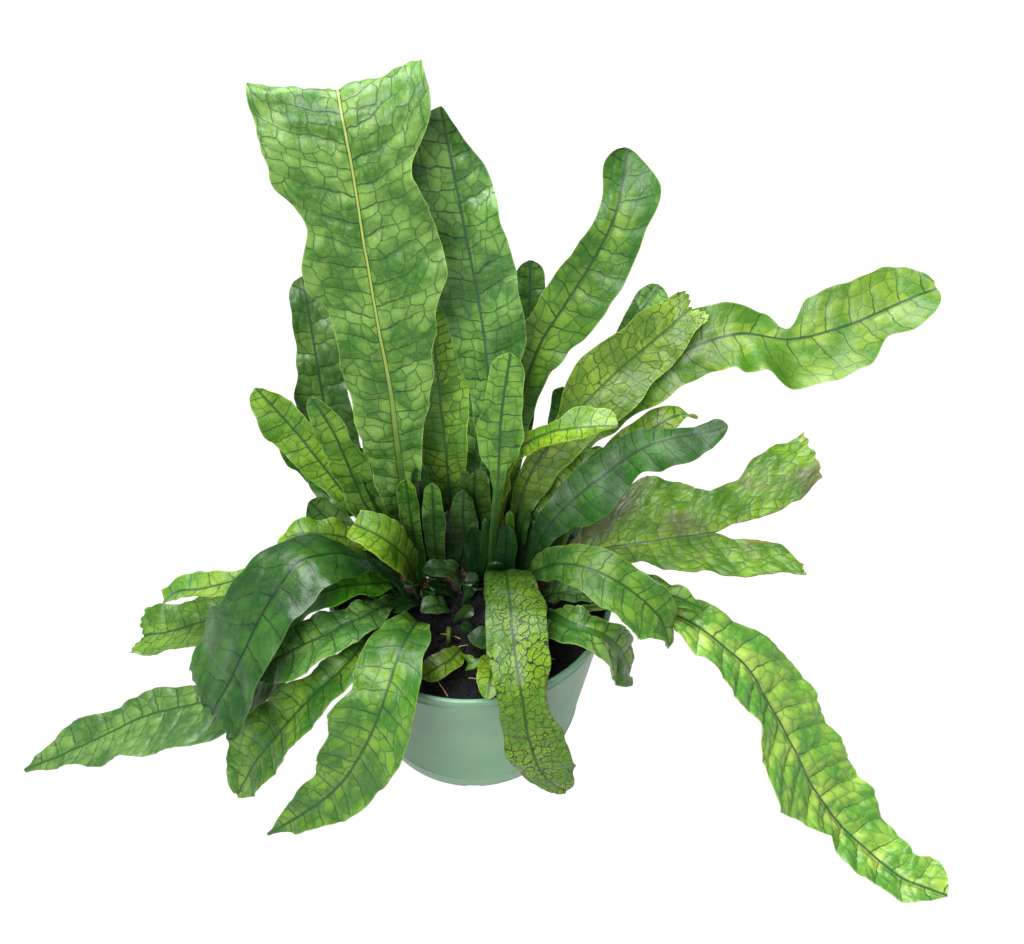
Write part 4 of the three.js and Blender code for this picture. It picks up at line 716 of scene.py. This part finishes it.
def frond_points(frond, number, s, side, place, under):
    """The frond's vertices in mm and what its material and its relief read there."""
    ragged = np.zeros(len(s))
    if frond.tip == "cut":
        late = np.clip((s - 0.8) / 0.2, 0, 1)
        ragged = RAGGED_TIP * late * late * (3 - 2 * late)
    bite = (1 - np.cos(5 * side * place + frond.facing)) / 2
    crumble = 0.25 * np.sin(23 * side * place + number)
    along = np.clip(s - ragged * (bite + crumble) / frond.length, 0, 1)
    across, normal = frond.directions(along)
    gap = frond.fork_gap(s, side)
    width = frond.half_width(s, side)
    outer = width + nibbles(frond, s, side, number) * np.clip(width / 12, 0, 1) * 0.8
    offset = gap + np.maximum(outer - gap, 0.5) * place
    q = np.minimum(1, offset / width)
    share = frond.blade_share(s)
    height, count, phase = frond.wave
    wave = height * np.sin(2 * np.pi * count * s + phase + np.where(side > 0, 0, 2.2))
    frill = 0.35 * np.sin(s * frond.length / 3.7 + 3 * number + side)
    lift = share * (frond.cup * width * q**2 + (wave + frill) * q**2.5)
    stem = min(STEM_THICKNESS / 2, frond.plus[0])
    stem = stem + (STEM_EDGE / 2 - stem) * place**1.6
    ribbed = np.where(gap > 0, 0, np.exp(-((offset / RIB_REACH) ** 2)))
    half_blade = BLADE_THICKNESS / 2
    up = stem + (half_blade + (RIB_HEIGHT - half_blade) * ribbed - stem) * share
    keel = half_blade + (KEEL_HEIGHT * (1 - s) + 0.3 - half_blade) * ribbed
    down = stem + (keel - stem) * share
    thickness = np.where(under > 0, -down, up)
    middle = frond.at(frond.path, along)
    points = middle + across * (side * offset)[:, None] + normal * (lift + thickness)[:, None]
    run = s * frond.length - BURIED
    edge = np.where(gap > 0, np.minimum(offset - gap, outer - offset), outer - offset)
    edge = np.minimum(edge, (1 - s) * frond.length)
    return points, dict(
        blade_mm=np.stack([run + VEIN_STEP * number, side * offset, np.full(len(s), 3.1 * number)], -1),
        blade_part=np.stack([edge, share, under], -1),
        lift=normal * share[:, None],
    )


def frond_rows(frond):
    """Stations along the midrib for the fine grid, with one at each end of the fork."""
    stops = [0, 1]
    if frond.name == FORK_NAME:
        stops = [0, FORK["start"], FORK["minus_end"], 1]
    rows = [0]
    for low, high in zip(stops, stops[1:]):
        count = max(2, round((high - low) * frond.length / ROW_SPACING))
        rows += [low + (high - low) * (i + 1) / count for i in range(count)]
    return np.array(rows)


def frond_sheet(frond, rows):
    """A closed flat sheet as a bmesh: x is the side times the place across, y the row's number, z under."""
    columns = max(3, math.ceil(max(frond.plus + frond.minus) / COLUMN_SPACING))
    sheet = bmesh.new()
    for side in (1, -1):
        half = bmesh.ops.create_grid(sheet, x_segments=columns, y_segments=len(rows) - 1, size=0.5)["verts"]
        bmesh.ops.translate(sheet, verts=half, vec=(0.5 * side, 0.5, 0))
        bmesh.ops.scale(sheet, verts=half, vec=(1, len(rows) - 1, 1))
        if frond.name == FORK_NAME:
            fork_row = np.argmin(abs(rows - FORK["start"]))
            end_row = np.argmin(abs(rows - FORK["minus_end"]))
            past = [v for v in half if v.co.y > fork_row + 0.5]
            bmesh.ops.translate(sheet, verts=past, vec=(FORK_SHIFT * side, 0, 0))
            if side < 0:
                beyond = [v for v in half if v.co.y > end_row + 0.5]
                bmesh.ops.delete(sheet, geom=beyond, context="VERTS")
    bmesh.ops.remove_doubles(sheet, verts=sheet.verts, dist=1e-4)
    bmesh.ops.recalc_face_normals(sheet, faces=sheet.faces)
    bmesh.ops.solidify(sheet, geom=sheet.faces[:], thickness=SHEET_THICKNESS)
    return sheet


def make_frond(frond, number, replaced):
    rows = frond_rows(frond)
    sheet = frond_sheet(frond, rows)
    flat = np.array([v.co for v in sheet.verts])
    side = np.where(flat[:, 0] < 0, -1.0, 1.0)
    place = abs(flat[:, 0])
    place = np.where(place > 1.5, place - FORK_SHIFT, place)
    s = rows[np.round(flat[:, 1]).astype(int)]
    under = (abs(flat[:, 2]) > SHEET_THICKNESS / 2).astype(float)
    points, attributes = frond_points(frond, number, s, side, place, under)
    for vertex, point in zip(sheet.verts, points * MM):
        vertex.co = point
    bmesh.ops.recalc_face_normals(sheet, faces=sheet.faces)
    piece = piece_of(sheet, "frond_" + frond.name)
    for name, values in attributes.items():
        layer = piece.data.attributes.new(name, "FLOAT_VECTOR", "POINT")
        layer.data.foreach_set("vector", values.astype(np.float32).ravel())
    blisters = piece.modifiers.new("blisters", "NODES")
    blisters.node_group = reliefs[frond.tone]
    bake_modifiers(piece)
    finish_piece(piece, leaf_materials[frond.tone], replaced)


def piece_of(shape, name):
    """A bmesh as an object, smooth except at its sharp edges."""
    mesh = bpy.data.meshes.new(name)
    shape.to_mesh(mesh)
    shape.free()
    mesh.shade_smooth()
    mesh.set_sharp_from_angle(angle=math.radians(50))
    piece = bpy.data.objects.new(name, mesh)
    bpy.context.scene.collection.objects.link(piece)
    return piece


def bake_modifiers(piece):
    graph = bpy.context.evaluated_depsgraph_get()
    shown = piece.evaluated_get(graph)
    mesh = bpy.data.meshes.new_from_object(shown, preserve_all_data_layers=True, depsgraph=graph)
    piece.modifiers.clear()
    piece.data = mesh


def finish_piece(piece, material, replaced):
    piece.data.materials.clear()
    piece.data.materials.append(material)
    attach(piece, "root")
    if replaced:
        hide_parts(replaced)


def coiled_frond(foot, lean, first_radius, last_radius, turns, points_per_turn, half_widths):
    """The rolled frond: up its stem, then a spiral in the plane across X."""
    x, y, z = Vector(foot) + Vector(lean) - Vector((0, first_radius, 0))
    spine = [foot]
    steps = round(turns * points_per_turn)
    for i in range(steps + 1):
        angle = 2 * math.pi * i / points_per_turn
        radius = first_radius + (last_radius - first_radius) * i / steps
        spine.append((x, y + radius * math.cos(angle), z + radius * math.sin(angle)))
    return Frond("fiddlehead", "lime", 90, spine, half_widths, wave=(0, 1, 0), cup=0, tip="cut")


def crown_leaf(number, x, y, heading, lean, length, half_width):
    """A young leaf that leans out of the crown, more the nearer its tip."""
    way = (math.cos(math.radians(heading)), math.sin(math.radians(heading)))
    spine = []
    for t in CROWN_LEAF_STEPS:
        out = lean * length * t**1.5
        spine.append((x + out * way[0], y + out * way[1], SOIL_TOP + length * t * (1 - 0.5 * lean * t)))
    widths = [half_width * share for share in CROWN_LEAF_WIDTHS]
    # The dark `deep` tone is partly the young leaves' own dark green and partly painted shade for the shadow
    # deep in the crown
    return Frond(f"crown_leaf_{number}", "deep", heading, spine, widths, wave=(0.5, 2, number), cup=0.08)


def spun(profile, steps):
    """A profile of (radius, height) points in mm turned about Z as a closed bmesh."""
    shape = bmesh.new()
    points = [shape.verts.new((r * MM, 0, z * MM)) for r, z in profile]
    edges = [shape.edges.new(pair) for pair in zip(points, points[1:])]
    bmesh.ops.spin(shape, geom=points + edges, axis=(0, 0, 1), cent=(0, 0, 0), angle=2 * math.pi,
                   steps=steps, use_merge=True)
    bmesh.ops.remove_doubles(shape, verts=shape.verts, dist=1e-6)
    bmesh.ops.recalc_face_normals(shape, faces=shape.faces)
    return shape


def pot_radius(z):
    return FOOT_RADIUS + (RIM_RADIUS - RIM_BEAD - FOOT_RADIUS) * z / POT_HEIGHT


def ridge(z):
    """A raised line round the pot at height z, as points of its profile."""
    top = [(pot_radius(z) + RIDGE * share, z + up) for up, share in ((-0.5, 0.75), (0, 1), (0.5, 0.75))]
    return [(pot_radius(z - 1.2), z - 1.2), *top, (pot_radius(z + 1.2), z + 1.2)]


def pot_profile():
    """Up the outside of the pot, over its beaded rim and down the inside."""
    top = POT_HEIGHT
    low = top - RIM_DEPTH
    inside = pot_radius(top) - WALL
    bead = [(RIM_RADIUS - 0.9 + 0.9 * math.sin(a), top - 0.9 + 0.9 * math.cos(a))
            for a in [math.radians(d) for d in (90, 60, 30, 0)]]
    return [
        (0, 0), (FOOT_RADIUS - 1.2, 0), (FOOT_RADIUS - 0.4, 0.2), (pot_radius(1), 1), *ridge(FOOT_RIDGE),
        *ridge(RIM_RIDGE), (pot_radius(low), low), (RIM_RADIUS - 0.4, low + 0.2), (RIM_RADIUS, low + 0.7), *bead,
        (inside + 0.9, top), (inside + 0.3, top - 0.3), (inside, top - 0.9),
        (pot_radius(FLOOR_THICKNESS) - WALL, FLOOR_THICKNESS), (0, FLOOR_THICKNESS),
    ]


def cut_away(piece, cutter_shape):
    """Cuts a closed bmesh out of a piece."""
    cutter = piece_of(cutter_shape, "cutter")
    boolean = piece.modifiers.new("cut", "BOOLEAN")
    boolean.operation = "DIFFERENCE"
    boolean.solver = "EXACT"
    boolean.use_self = True
    boolean.object = cutter
    bake_modifiers(piece)
    bpy.data.objects.remove(cutter)


def make_pot():
    piece = piece_of(spun(pot_profile(), POT_STEPS), "nursery_pot")
    cutter = bmesh.new()
    for k in range(DRAINS):
        turn = Matrix.Rotation(2 * math.pi * (k + 0.5) / DRAINS, 4, "Z")
        hole = Matrix.Translation((DRAIN_CIRCLE * MM, 0, 0))
        bmesh.ops.create_cone(cutter, cap_ends=True, segments=32, radius1=DRAIN_RADIUS * MM,
                              radius2=DRAIN_RADIUS * MM, depth=3 * FLOOR_THICKNESS * MM, matrix=turn @ hole)
        length = FOOT_RADIUS + 4 - CHANNEL_START
        place = Matrix.Translation(((CHANNEL_START + length / 2) * MM, 0, 0))
        size = Matrix.Diagonal((length * MM, CHANNEL_WIDTH * MM, 2 * CHANNEL_DEPTH * MM, 1))
        bmesh.ops.create_cube(cutter, size=1, matrix=turn @ place @ size)
    cut_away(piece, cutter)
    piece.data.shade_smooth()
    piece.data.set_sharp_from_angle(angle=math.radians(35))
    finish_piece(piece, pot_material(), "pot")


def pot_material():
    """Polypropylene, injection moulded thin: even colour, satin, with faint rings from the mould's turning."""
    material, shader, place = surface_material("moulded_polypropylene_sage")
    rings = noise(joined(0, 0, parts(place)[2]), 700)
    colour = blend(ease(noise(place, 28, 3), 0.35, 0.65), "618468", "678B6E")
    colour = blend(ease(rings, 0.4, 0.7, 0, 0.18), colour, "597C61")
    fill(shader, {"Base Color": colour, "Roughness": 0.42, "IOR": 1.49, "Normal": bump(rings, 0.25, 0.0002)})
    return material


def soil_height(x, y):
    """The uneven top of the peat, in mm."""
    bumps = np.sin(x * 0.21 + 1.3) * np.cos(y * 0.17) + 0.6 * np.sin(x * 0.43 - y * 0.39)
    return float(SOIL_TOP + 1.3 * bumps + 0.5 * np.sin(x * 1.1 + 2 * np.sin(y * 0.9)) * np.cos(y * 1.3))


def make_soil():
    bottom = FLOOR_THICKNESS + SOIL_GAP
    rim = pot_radius(SOIL_TOP) - WALL - SOIL_GAP
    profile = [(0, bottom), (pot_radius(bottom) - WALL - SOIL_GAP, bottom), (rim, SOIL_TOP)]
    profile += [(rim * (1 - (i + 1) / SOIL_RINGS), SOIL_TOP) for i in range(SOIL_RINGS)]
    shape = spun(profile, SOIL_STEPS)
    rng = random.Random(5)
    for vertex in shape.verts:
        x, y = vertex.co.x / MM, vertex.co.y / MM
        if vertex.co.z > (SOIL_TOP - 1) * MM and math.hypot(x, y) < rim - 0.5:
            vertex.co.z = (soil_height(x, y) + rng.uniform(-0.35, 0.35)) * MM
    scatter_crumbs(shape, rim, rng)
    finish_piece(piece_of(shape, "peat"), peat_material(), "soil")


def on_peat(radius, angle, above):
    """The place on the peat's top at a radius and an angle, `above` mm over it."""
    x, y = radius * math.cos(angle), radius * math.sin(angle)
    return Matrix.Translation((x * MM, y * MM, (soil_height(x, y) + above) * MM))


def scatter_crumbs(shape, rim, rng):
    """Crumbs of peat and bark, from 1 to 4 mm, sunk into the top."""
    for _ in range(CRUMBS):
        radius = rim * math.sqrt(rng.random()) * 0.97
        angle = rng.uniform(0, 2 * math.pi)
        size = rng.choice(CRUMB_SIZES)
        stretch = Matrix.Diagonal((size * rng.uniform(0.7, 1.6), size, size * rng.uniform(0.5, 0.9), 1)) * MM
        stretch[3][3] = 1
        turn = Matrix.Rotation(rng.uniform(0, 6.3), 4, "Z") @ Matrix.Rotation(rng.uniform(-0.6, 0.6), 4, "X")
        place = on_peat(radius, angle, 0.2 * size)
        bmesh.ops.create_icosphere(shape, subdivisions=1, radius=1, matrix=place @ turn @ stretch)


def make_straws():
    """Pale fibres of straw that lie on the peat, the first few at the front, each a thin bent stick."""
    shape = bmesh.new()
    rng = random.Random(11)
    for k in range(STRAWS):
        anywhere = k >= FRONT_STRAWS
        angle = rng.uniform(-2.6, 0.2) if anywhere else rng.uniform(-1.1, -0.6)
        radius = rng.uniform(30, 62) if anywhere else rng.uniform(50, 62)
        length = rng.uniform(7, 18)
        turn = Matrix.Rotation(rng.uniform(0, 6.3), 4, "Z") @ Matrix.Rotation(rng.uniform(-0.15, 0.15), 4, "Y")
        place = on_peat(radius, angle, 1.3)
        stick = bmesh.ops.create_cube(shape, size=1)["verts"]
        edges = [e for e in shape.edges if all(v in stick for v in e.verts)]
        long_edges = [e for e in edges if abs(e.verts[0].co.x - e.verts[1].co.x) > 0.5]
        bmesh.ops.subdivide_edges(shape, edges=long_edges, cuts=5)
        for v in [v for v in shape.verts if not v.tag]:
            v.tag = True
            bend = 1 - 4 * v.co.x**2
            bent = Vector((v.co.x * length * MM, v.co.y * 0.45 * MM, (v.co.z * 0.35 + 1.2 * bend) * MM))
            v.co = place @ turn @ bent
    bmesh.ops.recalc_face_normals(shape, faces=shape.faces)
    # Dry straw: pale tan with darker streaks
    material = clouded_material("dry_straw", 400, (0.3, 0.7), "8A6A42", "B89A6C", 0.7)
    finish_piece(piece_of(shape, "straw"), material, None)


def peat_material():
    """Peat and bark, moist: nearly black brown, rough, with small paler grains."""
    material, shader, place = surface_material("moist_peat")
    grains = noise(place, 900)
    colour = blend(ease(noise(place, 180, 4, Roughness=0.7), 0.35, 0.7), "090A0A", "17181A")
    colour = blend(ease(grains, 0.66, 0.74, 0, 0.3), colour, "6A5540")
    fill(shader, {"Base Color": colour, "Roughness": 0.85, "Specular IOR Level": 0.2,
                  "Normal": bump(grains, 0.8, 0.0008)})
    return material


def clouded_material(name, scale, reach, dark, light, roughness):
    """A matte material that goes from a dark colour to a light one in clouds."""
    material, shader, place = surface_material(name)
    colour = blend(ease(noise(place, scale, 3), *reach), dark, light)
    fill(shader, {"Base Color": colour, "Roughness": roughness})
    return material


def make_rhizome():
    """The creeping stem as a knobbly tube, shaggy with pointed brown scales."""
    shape = bmesh.new()
    rng = random.Random(3)
    up = Vector((0, 0, 1))
    for path in RHIZOME_PATHS:
        line = [Vector(point) for point in smooth_path(path, 24)]
        last = len(line) - 1
        before = len(shape.verts)
        tube = bmesh.ops.create_grid(shape, x_segments=RHIZOME_SIDES, y_segments=last, size=0.5)["verts"]
        knobs = 2 * (len(path) - 1)
        for v in tube:
            t = v.co.y + 0.5
            turn = 2 * math.pi * (v.co.x + 0.5)
            i = round(t * last)
            way = (line[min(i + 1, last)] - line[max(i - 1, 0)]).normalized()
            sideways = way.cross(up).normalized()
            knob = 1 + 0.16 * math.cos(math.pi * knobs * t) + 0.05 * math.sin(5 * turn + 40 * t)
            ends = min(1, math.sqrt(max(0, 1 - (2 * t - 1) ** 12)) + 0.05)
            radius = RHIZOME_RADIUS * knob * ends
            v.co = (line[i] + sideways * radius * math.cos(turn) + up * radius * math.sin(turn)) * MM
        bmesh.ops.remove_doubles(shape, verts=shape.verts[before:], dist=1e-6)
        for _ in range(RHIZOME_SCALES):
            i = rng.randrange(4, len(line) - 4)
            way = (line[i + 1] - line[i]).normalized()
            sideways = way.cross(up).normalized()
            turn = rng.uniform(-0.3, math.pi + 0.3)
            out = sideways * math.cos(turn) + up * math.sin(turn)
            foot = line[i] + out * RHIZOME_RADIUS * 0.95
            tip = foot + out * rng.uniform(0.6, 1.6) + way * rng.uniform(1.5, 3.0)
            width = way.cross(out) * rng.uniform(0.4, 0.8)
            bottom = [shape.verts.new(p * MM) for p in (foot - width, foot + width, foot - out * 0.4)]
            peak = shape.verts.new(tip * MM)
            shape.faces.new(bottom)
            for a, b in zip(bottom, bottom[1:] + bottom[:1]):
                shape.faces.new((a, b, peak))
    bmesh.ops.holes_fill(shape, edges=[e for e in shape.edges if e.is_boundary], sides=0)
    bmesh.ops.recalc_face_normals(shape, faces=shape.faces)
    # A fern's creeping stem: brown and papery with scales, matte
    material = clouded_material("scaly_rhizome", 350, (0.35, 0.65), "21170F", "4A3623", 0.8)
    finish_piece(piece_of(shape, "creeping_rhizome"), material, "rhizome")


def make_stage():
    """A light table that shines pure white, a white room, and soft lamps above and in front."""
    floor = bmesh.new()
    bmesh.ops.create_grid(floor, x_segments=1, y_segments=1, size=TABLE_HALF_WIDTH)
    floor_piece = piece_of(floor, "floor")
    material, shader, _ = surface_material("white_light_table")
    fill(shader, {"Base Color": linear("404040"), "Roughness": 0.9, "Emission Color": linear("FFFFFF"),
                  "Emission Strength": 1})
    floor_piece.data.materials.append(material)
    floor_piece.location.z = -TABLE_DROP
    world = bpy.data.worlds.new("white_room")
    world.use_nodes = True
    fill(world.node_tree.nodes["Background"], {"Color": linear("FFFFFF"), "Strength": 0.6})
    bpy.context.scene.world = world
    for name, place, size, power in SOFTBOXES:
        light = bpy.data.lights.new(name, "AREA")
        light.size = size
        light.energy = power
        lamp = stand(name, light, place)
        lamp.rotation_euler = (Vector(SOFTBOX_AIM) - Vector(place)).to_track_quat("-Z", "Y").to_euler()


def stand(name, data, place):
    """A lamp or a camera as an object at a place in metres."""
    holder = bpy.data.objects.new(name, data)
    holder.location = place
    bpy.context.scene.collection.objects.link(holder)
    return holder


def make_camera():
    lens = bpy.data.cameras.new("photo_camera")
    lens.sensor_width = SENSOR_WIDTH
    lens.lens = FOCAL_PIXELS / PHOTO_WIDTH * SENSOR_WIDTH
    camera = stand("photo_camera", lens, Vector(CAMERA_PLACE) * MM)
    camera.rotation_euler = (math.radians(CAMERA_TILT), 0, 0)
    bpy.context.scene.camera = camera


make_camera()
make_stage()
reliefs = {name: relief_nodes(name) for name in TONES}
leaf_materials = {name: leaf_material(name) for name in TONES}
solid_fronds = FRONDS + [coiled_frond(**COIL)]
crown_leaves = [crown_leaf(i, *leaf) for i, leaf in enumerate(CROWN_LEAVES)]
for number, frond in enumerate(solid_fronds + crown_leaves):
    make_frond(frond, number, frond.name if number < len(solid_fronds) else None)
make_pot()
make_soil()
make_straws()
make_rhizome()
bpy.context.scene.view_settings.view_transform = "Standard"
